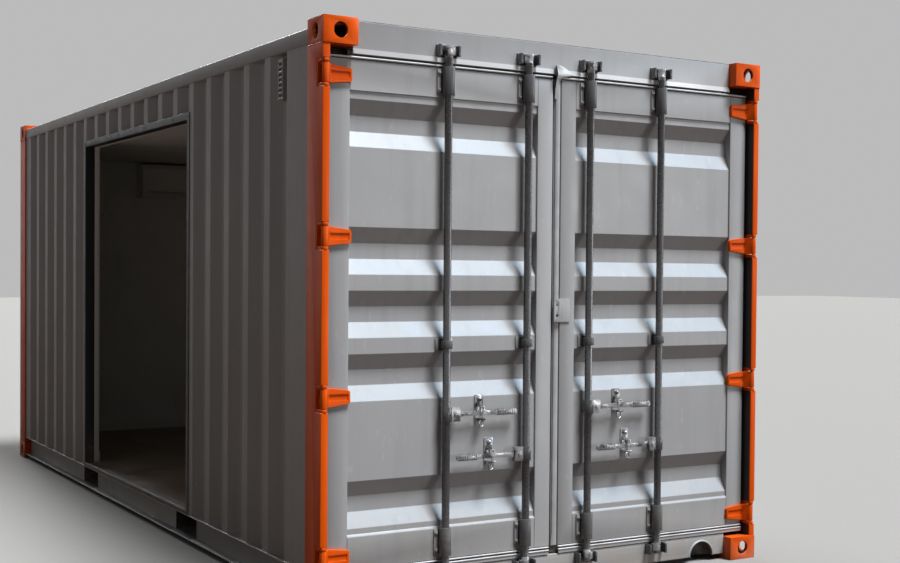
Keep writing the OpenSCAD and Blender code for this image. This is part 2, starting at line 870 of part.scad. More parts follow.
module left_leaf_panel() {
  color(GREY) leaf_panel();
}

module right_leaf_panel() {
  color(GREY) mirror([1, 0, 0]) leaf_panel();
}

module left_leaf_gasket() {
  color(BLACK) leaf_gasket();
}

module right_leaf_gasket() {
  color(BLACK) mirror([1, 0, 0]) leaf_gasket();
}

module left_hinge_blades() {
  color(ORANGE) leaf_blades();
}

module right_hinge_blades() {
  color(ORANGE) mirror([1, 0, 0]) leaf_blades();
}

module left_rod_guides() {
  color(GREY) for (x = [-rod_out, -rod_in]) rod_guide(x);
}

module right_rod_guides() {
  color(GREY) for (x = [rod_in, rod_out]) rod_guide(x);
}

module left_handle_retainers() {
  color(ZINC) {
    retainer(-rod_out, handle_hi, 1);
    retainer(-rod_in, handle_lo, -1);
  }
}

module right_handle_retainers() {
  color(ZINC) {
    retainer(rod_in, handle_hi, 1);
    retainer(rod_out, handle_lo, -1);
  }
}

// seal strip on the right leaf that closes the middle, with a wider top end
module centre_gasket() {
  b = leaf_mid_gap;
  color(BLACK) {
    bx([-b + 10, F0 + 10, LB], [b, F0 + 34, LT]);
    translate([0, F0 + 10, 0]) rotate([90, 0, 0]) linear_extrude(8)
      polygon([[-b + 10, LB], [b - 5, LB], [b - 5, LT], [-b + 10, LT], [-b + 10, LT - 20],
               [-b + 16, LT - 110], [-b + 16, LB + 70], [-b + 10, LB + 10]]);
    bx([-b + 10, F0 + 14, LT], [b, F0 + 34, LT + leaf_top_gap - lip_drop - 6]);
    bx([-b + 10, F0 + 14, LB - leaf_low_gap + 6], [b, F0 + 34, LB]);
  }
}

module lock_plate() {
  b = leaf_mid_gap;
  z = WB + 3.34 * panel_pitch;
  color(GREY) difference() {
    translate([0, 0, z]) linear_extrude(112) polygon([
      [-b + 6, F0 - 16], [b - 2, F0 - 16], [b + 8, F0 - 6], [b + 54, F0 - 6], [b + 54, F0],
      [b + 4, F0], [b - 6, F0 - 10], [-b + 6, F0 - 10]]);
    for (k = [0, 1])
      translate([0, F0 - 20, z + 30 + k * 52]) rotate([-90, 0, 0]) cylinder(h = 20, r = 7);
  }
}

// lock rod with a cam at each end and the fork that holds its handle
module lock_rod(x, z, s) {
  top = height - rod_top_gap;
  color(GREY) rod(x, RY, rod_low, top, rod_rad);
  color(ZINC) {
    for (k = [[top - 50, top, HB - 40], [rod_low, rod_low + 50, LB - 32]]) {
      rod(x, RY, k[0], k[1], rod_rad + 2);
      translate([x, RY, k[0] + 8]) mirror([s > 0 ? 0 : 1, 0, 0]) linear_extrude(34)
        polygon([[-13, -14], [-4, -24], [16, -22], [31, -10], [33, 4], [24, 10], [0, 14],
                 [-12, 10]]);
    }
    difference() {
      union() {
        rod(x, RY, z - 33, z + 33, rod_rad + 6);
        translate([x + (s > 0 ? 0 : -hub_x - 24), RY - 13, z - 33])
          cube([hub_x + 24, 26, 66]);
      }
      translate([x + (s > 0 ? 27 : -hub_x - 28), RY - 7, z - 34])
        cube([hub_x + 1, 14, 68]);
      translate([x + s * hub_x, RY + 14, z]) rotate([90, 0, 0]) cylinder(h = 28, r = 6);
    }
    translate([x + s * hub_x, RY + 13, z]) rotate([90, 0, 0]) cylinder(h = 26, r = 5.7);
    translate([x + s * hub_x, RY - 13, z]) rotate([90, 0, 0]) cylinder(h = 5, r = 9, $fn = 6);
  }
}

module lock_rod_1() {
  lock_rod(-rod_out, handle_hi, 1);
}

module lock_rod_2() {
  lock_rod(-rod_in, handle_lo, -1);
}

module lock_rod_3() {
  lock_rod(rod_in, handle_hi, 1);
}

module lock_rod_4() {
  lock_rod(rod_out, handle_lo, -1);
}

// flat bar handle, pivoted on the rod's fork
module handle(x, z, s) {
  t = bar_thk;
  h = bar_hgt;
  color(ZINC) translate([x, RY + t / 2, z]) mirror([s > 0 ? 0 : 1, 0, 0])
    rotate([90, 0, 0]) difference() {
      union() {
        linear_extrude(t) polygon([
          [hub_x, -14], [hub_x + 30, -14], [hub_x + 44, -neck_hgt / 2],
          [grip_x - 6, -neck_hgt / 2], [grip_x, -h / 2], [handle_len - 8, -h / 2],
          [handle_len, -h / 2 + 8], [handle_len, h / 2 - 8], [handle_len - 8, h / 2],
          [grip_x, h / 2], [grip_x - 6, neck_hgt / 2], [hub_x + 44, neck_hgt / 2],
          [hub_x + 30, 14], [hub_x, 14]]);
        translate([hub_x, 0, 0]) cylinder(h = t, r = 14);
        translate([retainer_x - 14, -10, t - 1]) cube([28, 40, 4]);
        translate([grip_x + 4, -h / 2 + 4, -2]) cube([handle_len - grip_x - 14, h - 8, t + 4]);
      }
      translate([hub_x, 0, -1]) cylinder(h = t + 2, r = 6.2);
      translate([retainer_x, 20, -1]) cylinder(h = t + 6, r = 5);
    }
}

module handle_1() {
  handle(-rod_out, handle_hi, 1);
}

module handle_2() {
  handle(-rod_in, handle_lo, -1);
}

module handle_3() {
  handle(rod_in, handle_hi, 1);
}

module handle_4() {
  handle(rod_out, handle_lo, -1);
}

corner_castings_top();
corner_castings_bottom();
door_post_left();
door_post_right();
end_posts();
door_header();
door_sill();
end_header();
end_sill();
top_rail_left();
top_rail_right();
bottom_rail_left();
bottom_rail_right();
left_wall_door_side();
left_wall_end_side();
left_wall_over_doorway();
right_wall();
end_wall();
roof();
floor_boards();
cross_members();
fork_pockets();
left_lining();
right_lining();
end_lining();
ceiling_panel();
doorway_frame();
air_conditioner();
ventilators();
cam_keepers();
hinge_lugs();
left_leaf_frame();
left_leaf_panel();
left_leaf_gasket();
left_hinge_blades();
left_rod_guides();
left_handle_retainers();
right_leaf_frame();
right_leaf_panel();
right_leaf_gasket();
right_hinge_blades();
right_rod_guides();
right_handle_retainers();
centre_gasket();
lock_plate();
lock_rod_1();
lock_rod_2();
lock_rod_3();
lock_rod_4();
handle_1();
handle_2();
handle_3();
handle_4();
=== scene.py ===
# %% [markdown]
# Shipping container cabin. The steel box of a 20 ft container was kept with its cargo
# doors, and a wide doorway was cut in one long side. This file dresses the solid model:
# it eases sharp edges, folds the sheets with a real bend radius, adds weld beads, rivets
# and screws, and paints everything with materials made of nodes.

# %% The frame
import contextlib
import json
import math

import bmesh
import bpy
from mathutils import Matrix, Vector

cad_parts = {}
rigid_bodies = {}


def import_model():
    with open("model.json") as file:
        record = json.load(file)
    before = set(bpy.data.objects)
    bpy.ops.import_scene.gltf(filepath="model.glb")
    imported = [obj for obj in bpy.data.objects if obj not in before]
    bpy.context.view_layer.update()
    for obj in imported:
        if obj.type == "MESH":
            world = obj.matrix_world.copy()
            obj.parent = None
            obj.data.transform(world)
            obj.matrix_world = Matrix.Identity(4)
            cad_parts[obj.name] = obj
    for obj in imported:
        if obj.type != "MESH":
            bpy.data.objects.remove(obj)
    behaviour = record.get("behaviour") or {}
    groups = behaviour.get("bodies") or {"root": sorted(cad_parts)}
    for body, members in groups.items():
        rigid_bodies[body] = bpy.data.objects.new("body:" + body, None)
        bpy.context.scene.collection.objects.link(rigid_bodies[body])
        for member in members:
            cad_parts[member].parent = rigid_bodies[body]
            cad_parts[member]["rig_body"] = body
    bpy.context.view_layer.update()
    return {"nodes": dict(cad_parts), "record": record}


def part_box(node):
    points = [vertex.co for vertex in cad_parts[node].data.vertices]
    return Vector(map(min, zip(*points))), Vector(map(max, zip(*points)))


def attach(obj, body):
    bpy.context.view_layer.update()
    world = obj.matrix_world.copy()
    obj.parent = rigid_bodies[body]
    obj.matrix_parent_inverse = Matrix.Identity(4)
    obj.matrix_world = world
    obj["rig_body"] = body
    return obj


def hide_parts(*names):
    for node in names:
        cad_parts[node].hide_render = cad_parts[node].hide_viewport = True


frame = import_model()
NODES = frame["nodes"]
SLOT_OF = {part["node"]: part["material_slot"] for part in frame["record"]["subparts"]}
print("solid parts:", len(NODES))

# %% [markdown]
# A node is made in one call: its kind, what goes into its sockets, and its settings. The
# same helper serves materials and Geometry Nodes.

# %% Node helpers


def fill_sockets(tree, node, sockets):
    """Puts a value, an output, or a node's first output into each input that is named."""
    for key, value in sockets.items():
        target = node.inputs[key]
        if isinstance(value, bpy.types.Node):
            value = value.outputs[0]
        if isinstance(value, bpy.types.NodeSocket):
            tree.links.new(value, target)
        elif target.type == "RGBA":
            target.default_value = (*value, 1.0)
        else:
            target.default_value = value


def add_node(tree, kind, sockets=None, **settings):
    made = tree.nodes.new(kind)
    for name, value in settings.items():
        setattr(made, name, value)
    fill_sockets(tree, made, sockets or {})
    return made


def calc(tree, operation, first, second=0.0):
    return add_node(tree, "ShaderNodeMath", {0: first, 1: second}, operation=operation)


# %% [markdown]
# Every piece starts as a mesh, is shaped by modifiers that are run at once, and ends by
# saying which body carries it.

# %% Mesh helpers


def link_object(name, data):
    piece = bpy.data.objects.new(name, data)
    bpy.context.scene.collection.objects.link(piece)
    return piece


def mesh_piece(name, points, edges=(), faces=()):
    mesh = bpy.data.meshes.new(name)
    mesh.from_pydata(points, edges, faces)
    return link_object(name, mesh)


def chain(count, first=0):
    """The edges that join a row of points, each to the next."""
    return [(i, i + 1) for i in range(first, first + count - 1)]


@contextlib.contextmanager
def edited(mesh):
    work = bmesh.new()
    work.from_mesh(mesh)
    yield work
    work.to_mesh(mesh)
    work.free()


def settled(piece):
    """Turns the piece's modifiers into a plain mesh."""
    bpy.context.view_layer.update()
    depsgraph = bpy.context.evaluated_depsgraph_get()
    mesh = bpy.data.meshes.new_from_object(piece.evaluated_get(depsgraph))
    piece.modifiers.clear()
    piece.data = mesh
    return piece


def modify(piece, kind, **settings):
    modifier = piece.modifiers.new(kind, kind)
    for name, value in settings.items():
        setattr(modifier, name, value)
    return settled(piece)


def shade_smooth(piece):
    for face in piece.data.polygons:
        face.use_smooth = True


def carry(piece, body):
    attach(piece, body)
    return piece


def stand_for(piece, part_name):
    """The piece takes the place of a solid part, on its body."""
    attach(piece, NODES[part_name]["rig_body"])
    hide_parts(part_name)
    return piece


# %% [markdown]
# The camera stands where the picture was taken: at eye height, a little left of the doors.
# Its shift moves the frame to the left without turning the camera, which keeps the
# uprights upright.

# %% Camera
PICTURE_WIDTH = 900
PICTURE_HEIGHT = 563
EYE = Vector((-3.563, -8.634, 1.505))
YAW = math.radians(34.01)
PITCH = math.radians(-1.20)
ROLL = math.radians(0.58)
FOCAL_PIXELS = 1390.4
CENTRE_PIXEL = (600.0, 300.0)
SENSOR = 36.0

camera_data = bpy.data.cameras.new("eye_level_camera")
camera_data.sensor_fit = "HORIZONTAL"
camera_data.sensor_width = SENSOR
camera_data.lens = FOCAL_PIXELS / PICTURE_WIDTH * SENSOR
camera_data.shift_x = (PICTURE_WIDTH / 2 - CENTRE_PIXEL[0]) / PICTURE_WIDTH
camera_data.shift_y = (CENTRE_PIXEL[1] - PICTURE_HEIGHT / 2) / PICTURE_WIDTH
camera_data.clip_end = 200.0
camera = link_object("eye_level_camera", camera_data)
camera.matrix_world = (Matrix.Translation(EYE) @ Matrix.Rotation(-YAW, 4, "Z")
                       @ Matrix.Rotation(math.pi / 2 + PITCH, 4, "X")
                       @ Matrix.Rotation(ROLL, 4, "Z"))
bpy.context.scene.camera = camera
print("lens in mm:", round(camera_data.lens, 1))

# %% [markdown]
# Sprayed steel is never one flat colour. The coat is a little uneven, rain leaves faint
# upright runs, dust settles on ledges and near the ground, and the sheet under it is not
# quite flat. Each of these is a noise pattern read from Object coordinates, at the size
# that it has on the real cabin.

# %% Patterns for the materials


class Finish:
    """A material under construction, with the patterns that several finishes share."""

    def __init__(self, name):
        self.material = bpy.data.materials.new(name)
        self.material.use_nodes = True
        self.tree = self.material.node_tree
        self.place = self.add("TexCoord").outputs["Object"]
        self.facing = self.add("NewGeometry").outputs["Normal"]

    def add(self, kind, sockets=None, **settings):
        return add_node(self.tree, "ShaderNode" + kind, sockets, **settings)

    def pattern(self, kind, stretch, **sockets):
        place = self.place
        if stretch:
            place = self.add("Mapping", {"Vector": place, "Scale": stretch})
        return self.add(kind, {"Vector": place, **sockets})

    def noise(self, scale, detail=2.0, stretch=None, roughness=0.5):
        return self.pattern("TexNoise", stretch, Scale=scale, Detail=detail, Roughness=roughness)

    def flakes(self, scale, stretch=None):
        """One number for each crystal of zinc."""
        cells = self.pattern("TexVoronoi", stretch, Scale=scale)
        return self.split(cells.outputs["Color"])["X"]

    def ramp(self, value, low, high, to_low=0.0, to_high=1.0):
        return self.add("MapRange", {"Value": value, "From Min": low, "From Max": high,
                                     "To Min": to_low, "To Max": to_high})

    def math(self, operation, first, second=0.0):
        return calc(self.tree, operation, first, second)

    def product(self, first, *others):
        for other in others:
            first = self.math("MULTIPLY", first, other)
        return first

    def mix(self, share, first, second):
        return self.add("Mix", {"Factor": share, "A": first, "B": second},
                        data_type="RGBA").outputs["Result"]

    def split(self, vector):
        return self.add("SeparateXYZ", {"Vector": vector}).outputs

    def at(self, axis):
        return self.split(self.place)[axis]

    def away(self, axis):
        """Distance from the middle of the cabin along one axis."""
        return self.math("ABSOLUTE", self.at(axis))

    def bump(self, height, distance, strength=1.0, below=None):
        sockets = {"Height": height, "Distance": distance, "Strength": strength}
        if below is not None:
            sockets["Normal"] = below
        return self.add("Bump", sockets)

    def dust(self, reach, ledge):
        """Share of dust: near the ground up to reach metres, and on faces that look up."""
        low = self.ramp(self.at("Z"), 0.0, reach, 0.85, 0.0)
        up = self.ramp(self.split(self.facing)["Z"], 0.35, 0.95, 0.0, ledge)
        patches = self.ramp(self.noise(5.0, 6.0, roughness=0.65), 0.38, 0.68)
        speckle = self.ramp(self.noise(60.0, 3.0), 0.35, 0.7, 0.4, 1.0)
        return self.product(self.math("MAXIMUM", low, up), patches, speckle)

    def set(self, colour, roughness, normal=None, **plain):
        sockets = {"Base Color": colour, "Roughness": roughness}
        if normal is not None:
            sockets["Normal"] = normal
        for name, value in plain.items():
            sockets[name.replace("_", " ")] = value
        fill_sockets(self.tree, self.tree.nodes["Principled BSDF"], sockets)
        return self.material


DUST = (0.36, 0.31, 0.25)


def toned(colour, factor):
    return tuple(min(1.0, factor * c) for c in colour)


def sprayed_paint(name, colour, shade, rough, metal=0.0, wave=0.004, reach=0.45, ledge=0.25,
                  zone=None, zone_tone=None, shine=0.3, clear=0.06):
    coat = Finish(name)
    patches = coat.ramp(coat.noise(1.3, 5.0, roughness=0.6), 0.35, 0.7)
    runs = coat.ramp(coat.noise(6.0, 4.0, stretch=(3.0, 3.0, 0.12)), 0.5, 0.78, 0.0, 0.4)
    scuffs = coat.ramp(coat.noise(34.0, 6.0, stretch=(1.0, 1.0, 0.45)), 0.62, 0.74, 0.0, 0.35)
    tone = coat.mix(patches, colour, shade)
    tone = coat.mix(runs, tone, toned(shade, 0.78))
    film = coat.ramp(coat.at("Z"), 0.2, 1.7, 0.14, 0.0)
    tone = coat.mix(film, tone, toned(shade, 0.62))
    tone = coat.mix(scuffs, tone, toned(colour, 1.25))
    if zone is not None:
        tone = coat.mix(zone(coat), tone, zone_tone)
    dust = coat.dust(reach, ledge)
    tone = coat.mix(dust, tone, DUST)
    sheen = coat.ramp(coat.noise(9.0, 4.0), 0.3, 0.7, rough - 0.05, rough + 0.08)
    sheen = coat.math("ADD", sheen, coat.product(dust, 0.4))
    skin = coat.bump(coat.noise(420.0, 1.0), 0.0004, 0.25)
    skin = coat.bump(coat.noise(2.4, 2.0), wave, 0.5, below=skin)
    return coat.set(tone, sheen, skin, Metallic=metal, Specular_IOR_Level=shine,
                    Coat_Weight=clear, Coat_Roughness=0.15)


SILVER = dict(colour=(0.355, 0.36, 0.37), shade=(0.325, 0.33, 0.34), rough=0.36, metal=0.10)
WALL = {**SILVER, "rough": 0.34, "metal": 0.05, "shine": 0.08, "clear": 0.0}
ORANGE = dict(colour=(0.72, 0.094, 0.0015), shade=(0.62, 0.074, 0.0015), rough=0.34,
              wave=0.002, reach=0.12, ledge=0.10, shine=0.10)
grey_paint = sprayed_paint("silver_spray", **SILVER)
wall_paint = sprayed_paint("wall_spray", **WALL)
orange_paint = sprayed_paint("orange_spray", **ORANGE)
dark_paint = sprayed_paint("dark_spray", (0.030, 0.032, 0.036), (0.022, 0.023, 0.026), 0.45)
print("paints made:", grey_paint.name, wall_paint.name, orange_paint.name, dark_paint.name)

# %% [markdown]
# Some parts carry two looks in one coat. The drip lip of the header is lighter, a painted
# highlight. The tubes of the rod guides are darker. The posts and castings are dark inside with
# painted shade, and the arches of the sill are dark inside too. Each zone is a test on the
# position.

# %% Paint with a second zone
ROD_OUT = 0.6
ROD_IN = 0.175
ARCH_X = 0.905
ARCH_Z = 0.032
ARCH_RADIUS = 0.073
BLUR = 0.0006


def band(finish, value, low, high, soft=BLUR):
    """One from low to high, nothing outside, with a soft step at each end."""
    return finish.product(finish.ramp(value, low - soft, low),
                          finish.ramp(value, high, high + soft, 1.0, 0.0))


def off_rod(finish):
    """Distance from the nearest lock rod, along the width of the doors."""
    return finish.math("MINIMUM", *[
        finish.math("ABSOLUTE", finish.math("SUBTRACT", finish.away("X"), rod))
        for rod in (ROD_OUT, ROD_IN)])


# Painted highlight: the band of the drip lip is made lighter, as the sky would shine in it.
def lip_highlight_zone(finish):
    return band(finish, finish.at("Z"), 2.4440, 2.4675)


def tube_zone(finish):
    return finish.ramp(off_rod(finish), 0.0290, 0.0290 + BLUR, 1.0, 0.0)


# Painted shade: the inner sides of the door posts are made dark, where they lie in shadow.
def recess_shade_zone(finish):
    return finish.product(finish.ramp(finish.away("X"), 1.1862, 1.1874, 1.0, 0.0),
                          finish.ramp(finish.at("Y"), -3.0215, -3.0200))


# Painted shade: the insides of the holes in the corner castings are made dark.
def cavity_shade_zone(finish):
    level = finish.math("MAXIMUM", band(finish, finish.at("Z"), 0.016, 0.104),
                        band(finish, finish.at("Z"), 2.487, 2.575))
    return finish.product(band(finish, finish.away("X"), 1.070, 1.207, 0.002),
                          band(finish, finish.away("Y"), 2.864, 3.017, 0.002), level)


def arch_zone(finish):
    across = finish.math("SUBTRACT", finish.away("X"), ARCH_X)
    up = finish.math("SUBTRACT", finish.at("Z"), ARCH_Z)
    square = finish.math("ADD", finish.product(across, across), finish.product(up, up))
    inside = finish.ramp(square, ARCH_RADIUS ** 2, (ARCH_RADIUS + BLUR) ** 2, 1.0, 0.0)
    return finish.product(inside, finish.ramp(finish.at("Y"), -2.968, -2.966))


# The light tone of the lip is a painted highlight; the dark tones inside the posts and castings are
# painted shade.
header_paint, sill_paint, guide_paint, post_paint, casting_paint = (
    sprayed_paint(name, **base, zone=zone, zone_tone=tone) for name, base, zone, tone in (
        ("header_spray", SILVER, lip_highlight_zone, (0.60, 0.61, 0.63)),
        ("sill_spray", SILVER, arch_zone, (0.012, 0.012, 0.013)),
        ("guide_spray", SILVER, tube_zone, (0.085, 0.087, 0.092)),
        ("post_spray", ORANGE, recess_shade_zone, (0.040, 0.034, 0.036)),
        ("casting_spray", ORANGE, cavity_shade_zone, (0.050, 0.026, 0.020))))
print("paints with zones:", header_paint.name, guide_paint.name, post_paint.name)

# %% [markdown]
# Hot dip zinc cools in flakes of different greys. A Voronoi pattern gives each flake its
# own tone and gloss, and fine noise dulls it where hands and weather have been. The lock
# rods are zinc castings on tubes that were sprayed dark.

# %% Zinc and locking gear
HIGH_HANDLE = 0.842357
LOW_HANDLE = 0.639357
FORK_HALF = 0.0345


def galvanised_zinc():
    zinc = Finish("hot_dip_zinc")
    flake = zinc.flakes(70.0, (1.0, 1.0, 0.7))
    tone = zinc.mix(flake, (0.40, 0.41, 0.43), (0.56, 0.57, 0.59))
    grime = zinc.ramp(zinc.noise(38.0, 5.0), 0.50, 0.72, 0.0, 0.75)
    tone = zinc.mix(grime, tone, (0.13, 0.125, 0.12))
    gloss = zinc.ramp(flake, 0.0, 1.0, 0.28, 0.46)
    gloss = zinc.math("ADD", gloss, zinc.product(grime, 0.25))
    return zinc.set(tone, gloss, zinc.bump(zinc.noise(160.0, 3.0), 0.0006, 0.4), Metallic=0.85)


def locking_gear(name, from_height, to_height, handles=()):
    """Zinc, with dark spray between two heights but not on the forks of the handles."""
    gear = Finish(name)
    sprayed = band(gear, gear.at("Z"), from_height, to_height, 0.004)
    for level in handles:
        fork = gear.product(band(gear, gear.at("Z"), level - FORK_HALF, level + FORK_HALF),
                            gear.ramp(off_rod(gear), 0.0232, 0.0240))
        sprayed = gear.product(sprayed, gear.math("SUBTRACT", 1.0, fork))
    worn = gear.ramp(gear.noise(46.0, 6.0, stretch=(1.0, 1.0, 0.35)), 0.68, 0.76, 1.0, 0.88)
    sprayed = gear.product(sprayed, worn)
    metal = gear.mix(gear.flakes(90.0), (0.33, 0.335, 0.345), (0.50, 0.505, 0.52))
    soot = gear.ramp(gear.noise(24.0, 4.0), 0.50, 0.62, 0.0, 0.85)
    metal = gear.mix(soot, metal, (0.045, 0.045, 0.046))
    patches = gear.ramp(gear.noise(7.0, 4.0), 0.35, 0.7)
    coat = gear.mix(patches, (0.118, 0.120, 0.125), (0.098, 0.100, 0.105))
    gloss = gear.ramp(gear.noise(26.0, 4.0), 0.3, 0.7, 0.23, 0.29)
    gloss = gear.math("ADD", gloss, gear.product(soot, 0.12))
    return gear.set(gear.mix(sprayed, metal, coat), gloss,
                    gear.bump(gear.noise(220.0, 3.0), 0.0004, 0.07), Metallic=0.65)


rod_finish = locking_gear("lock_rod_gear", 0.150, 2.462, handles=(HIGH_HANDLE, LOW_HANDLE))
keeper_finish = locking_gear("keeper_gear", 0.0, 3.0)
handle_finish = locking_gear("handle_gear", 3.0, 3.1)
print("locking gear:", rod_finish.name, keeper_finish.name, handle_finish.name)

# %% [markdown]
# The rubber of the doors got a coat of the silver paint in front and stayed dark behind.
# Inside are a worn plywood floor, painted board and the plastic of the air conditioner.

# %% Rubber, timber, board and plastic


def seal_rubber_finish():
    rubber = Finish("door_seal_rubber")
    haze = rubber.ramp(rubber.noise(12.0, 5.0), 0.35, 0.7)
    front = rubber.ramp(rubber.at("Y"), -2.9605, -2.9585, 1.0, 0.0)
    coated = rubber.mix(haze, (0.31, 0.315, 0.325), (0.37, 0.375, 0.385))
    tone = rubber.mix(front, (0.030, 0.030, 0.032), coated)
    tone = rubber.mix(rubber.dust(0.3, 0.25), tone, DUST)
    return rubber.set(tone, 0.42, rubber.bump(rubber.noise(180.0, 2.0), 0.0005, 0.4))


def floor_ply():
    ply = Finish("floor_plywood")
    grain = ply.noise(9.0, 8.0, stretch=(14.0, 0.9, 4.0), roughness=0.7)
    tone = ply.mix(ply.ramp(grain, 0.3, 0.72), (0.112, 0.078, 0.056), (0.215, 0.158, 0.115))
    worn = ply.ramp(ply.noise(2.6, 6.0, roughness=0.7), 0.42, 0.66, 0.0, 0.6)
    tone = ply.mix(worn, tone, (0.29, 0.245, 0.205))
    scrapes = ply.ramp(ply.noise(22.0, 5.0, stretch=(0.5, 3.0, 1.0)), 0.63, 0.72, 0.0, 0.6)
    tone = ply.mix(scrapes, tone, (0.07, 0.05, 0.04))
    return ply.set(tone, ply.ramp(worn, 0.0, 0.6, 0.35, 0.62), ply.bump(grain, 0.0012, 0.5))


def lining_board_finish():
    board = Finish("lining_board_face")
    cloud = board.ramp(board.noise(1.6, 4.0), 0.3, 0.7)
    tone = board.mix(cloud, (0.72, 0.735, 0.71), (0.77, 0.785, 0.76))
    marks = board.ramp(board.noise(7.0, 7.0, stretch=(1.0, 1.0, 0.5)), 0.62, 0.78, 0.0, 0.3)
    tone = board.mix(marks, tone, (0.36, 0.33, 0.28))
    return board.set(tone, 0.5, board.bump(board.noise(240.0, 2.0), 0.0004, 0.35))


def unit_plastic_finish():
    shell = Finish("indoor_unit_plastic")
    cloud = shell.ramp(shell.noise(3.0, 3.0), 0.3, 0.7)
    tone = shell.mix(cloud, (0.74, 0.73, 0.69), (0.79, 0.78, 0.75))
    return shell.set(tone, 0.36, shell.bump(shell.noise(500.0, 1.0), 0.0002, 0.3),
                     Coat_Weight=0.15)


MATERIAL_OF = {
    "orange_paint": orange_paint, "grey_paint": grey_paint, "dark_paint": dark_paint,
    "galvanised": galvanised_zinc(),
    "seal_rubber": seal_rubber_finish(),
    "plywood": floor_ply(),
    "lining_board": lining_board_finish(),
    "unit_plastic": unit_plastic_finish(),
}
for part_name, solid in NODES.items():
    solid.data.materials.clear()
    solid.data.materials.append(MATERIAL_OF[SLOT_OF[part_name]])
print("finishes:", sorted(MATERIAL_OF))

# %% [markdown]
# A corrugated sheet has the same fold line all along its width. A few points give the
# line, and a Geometry Nodes tree does the rest: it turns the line into a curve, rounds
# each bend with Fillet Curve as a press brake would, and draws the edges out over the
# width. A Solidify modifier then gives the sheet its plate thickness.

# %% The tree that folds a sheet
SHEET = 0.002


def new_tree(name, inputs):
    tree = bpy.data.node_groups.new(name, "GeometryNodeTree")
    for title, kind in {"Geometry": "Geometry", **inputs, "Material": "Material"}.items():
        tree.interface.new_socket(title, in_out="INPUT", socket_type="NodeSocket" + kind)
    tree.interface.new_socket("Geometry", in_out="OUTPUT", socket_type="NodeSocketGeometry")
    return tree, tree.nodes.new("NodeGroupInput").outputs


def close_tree(tree, given, geometry, smooth=True):
    if smooth:
        geometry = add_node(tree, "GeometryNodeSetShadeSmooth", {"Geometry": geometry})
    real = add_node(tree, "GeometryNodeRealizeInstances", {"Geometry": geometry})
    painted = add_node(tree, "GeometryNodeSetMaterial", {"Geometry": real,
                                                         "Material": given["Material"]})
    add_node(tree, "NodeGroupOutput", {0: painted})
    print("tree ready:", tree.name)


def run_tree(piece, tree, values):
    """Puts the tree on the piece with these values, and keeps the plain mesh that it makes."""
    modifier = piece.modifiers.new(tree.name, "NODES")
    modifier.node_group = tree
    for item in tree.interface.items_tree:
        if item.in_out == "INPUT" and item.name in values:
            modifier[item.identifier] = values[item.name]
    return settled(piece)


def rounded_line(tree, given, steps):
    """The fold line as a row of edges, with each bend rounded in this many steps."""
    line = add_node(tree, "GeometryNodeMeshToCurve", {"Mesh": given["Geometry"]})
    bent = add_node(tree, "GeometryNodeFilletCurve",
                    {"Curve": line, "Count": steps, "Radius": given["Bend Radius"],
                     "Limit Radius": True}, mode="POLY")
    return add_node(tree, "GeometryNodeCurveToMesh", {"Curve": bent})


fold_tree, given = new_tree("folded_sheet", {"Bend Radius": "Float", "Width": "Vector",
                                             "Bend Steps": "Int"})
drawn = add_node(fold_tree, "GeometryNodeExtrudeMesh",
                 {"Mesh": rounded_line(fold_tree, given, given["Bend Steps"]),
                  "Offset": given["Width"], "Offset Scale": 1.0}, mode="EDGES")
close_tree(fold_tree, given, drawn)

# %% [markdown]
# The fold lines repeat the sizes of the solid model: a flat lead at the end, then slope,
# inner flat, slope and outer flat at one pitch. The doorway cuts the left wall in three,
# so its line is clipped at the two edges of the doorway frame.

# %% Fold lines
CRISP_ANGLE = math.radians(42.0)


def fold_line(start, end, count, lead, pitch, slope, flat, depth):
    points = [(start, 0.0)]
    for index in range(count):
        at = start + lead + index * pitch
        points += [(at, 0.0), (at + slope, depth), (at + slope + flat, depth),
                   (at + 2 * slope + flat, 0.0)]
    return points + [(end, 0.0)]


def clipped(points, low, high):
    kept = []
    for (a, da), (b, db) in zip(points, points[1:]):
        if b <= low or a >= high:
            continue
        for edge in (max(a, low), min(b, high)):
            depth = da + (db - da) * (edge - a) / (b - a)
            if not kept or abs(kept[-1][0] - edge) > 1e-6:
                kept.append((edge, depth))
    return kept


def crisp(piece):
    """Keeps rims sharp, and lets each flat face set the shading up to its bends."""
    with edited(piece.data) as work:
        bmesh.ops.recalc_face_normals(work, faces=work.faces)
        for edge in work.edges:
            edge.smooth = edge.calc_face_angle(math.pi) < CRISP_ANGLE
    modify(piece, "WEIGHTED_NORMAL", mode="FACE_AREA", weight=100, keep_sharp=True)


def folded_piece(name, points, width, radius, replaced, finish=wall_paint, steps=4):
    piece = mesh_piece(name, points, chain(len(points)))
    run_tree(piece, fold_tree, {"Bend Radius": radius, "Width": Vector(width),
                                "Bend Steps": steps, "Material": finish})
    modify(piece, "SOLIDIFY", thickness=SHEET, offset=0.0, use_even_offset=True)
    crisp(piece)
    stand_for(piece, replaced)


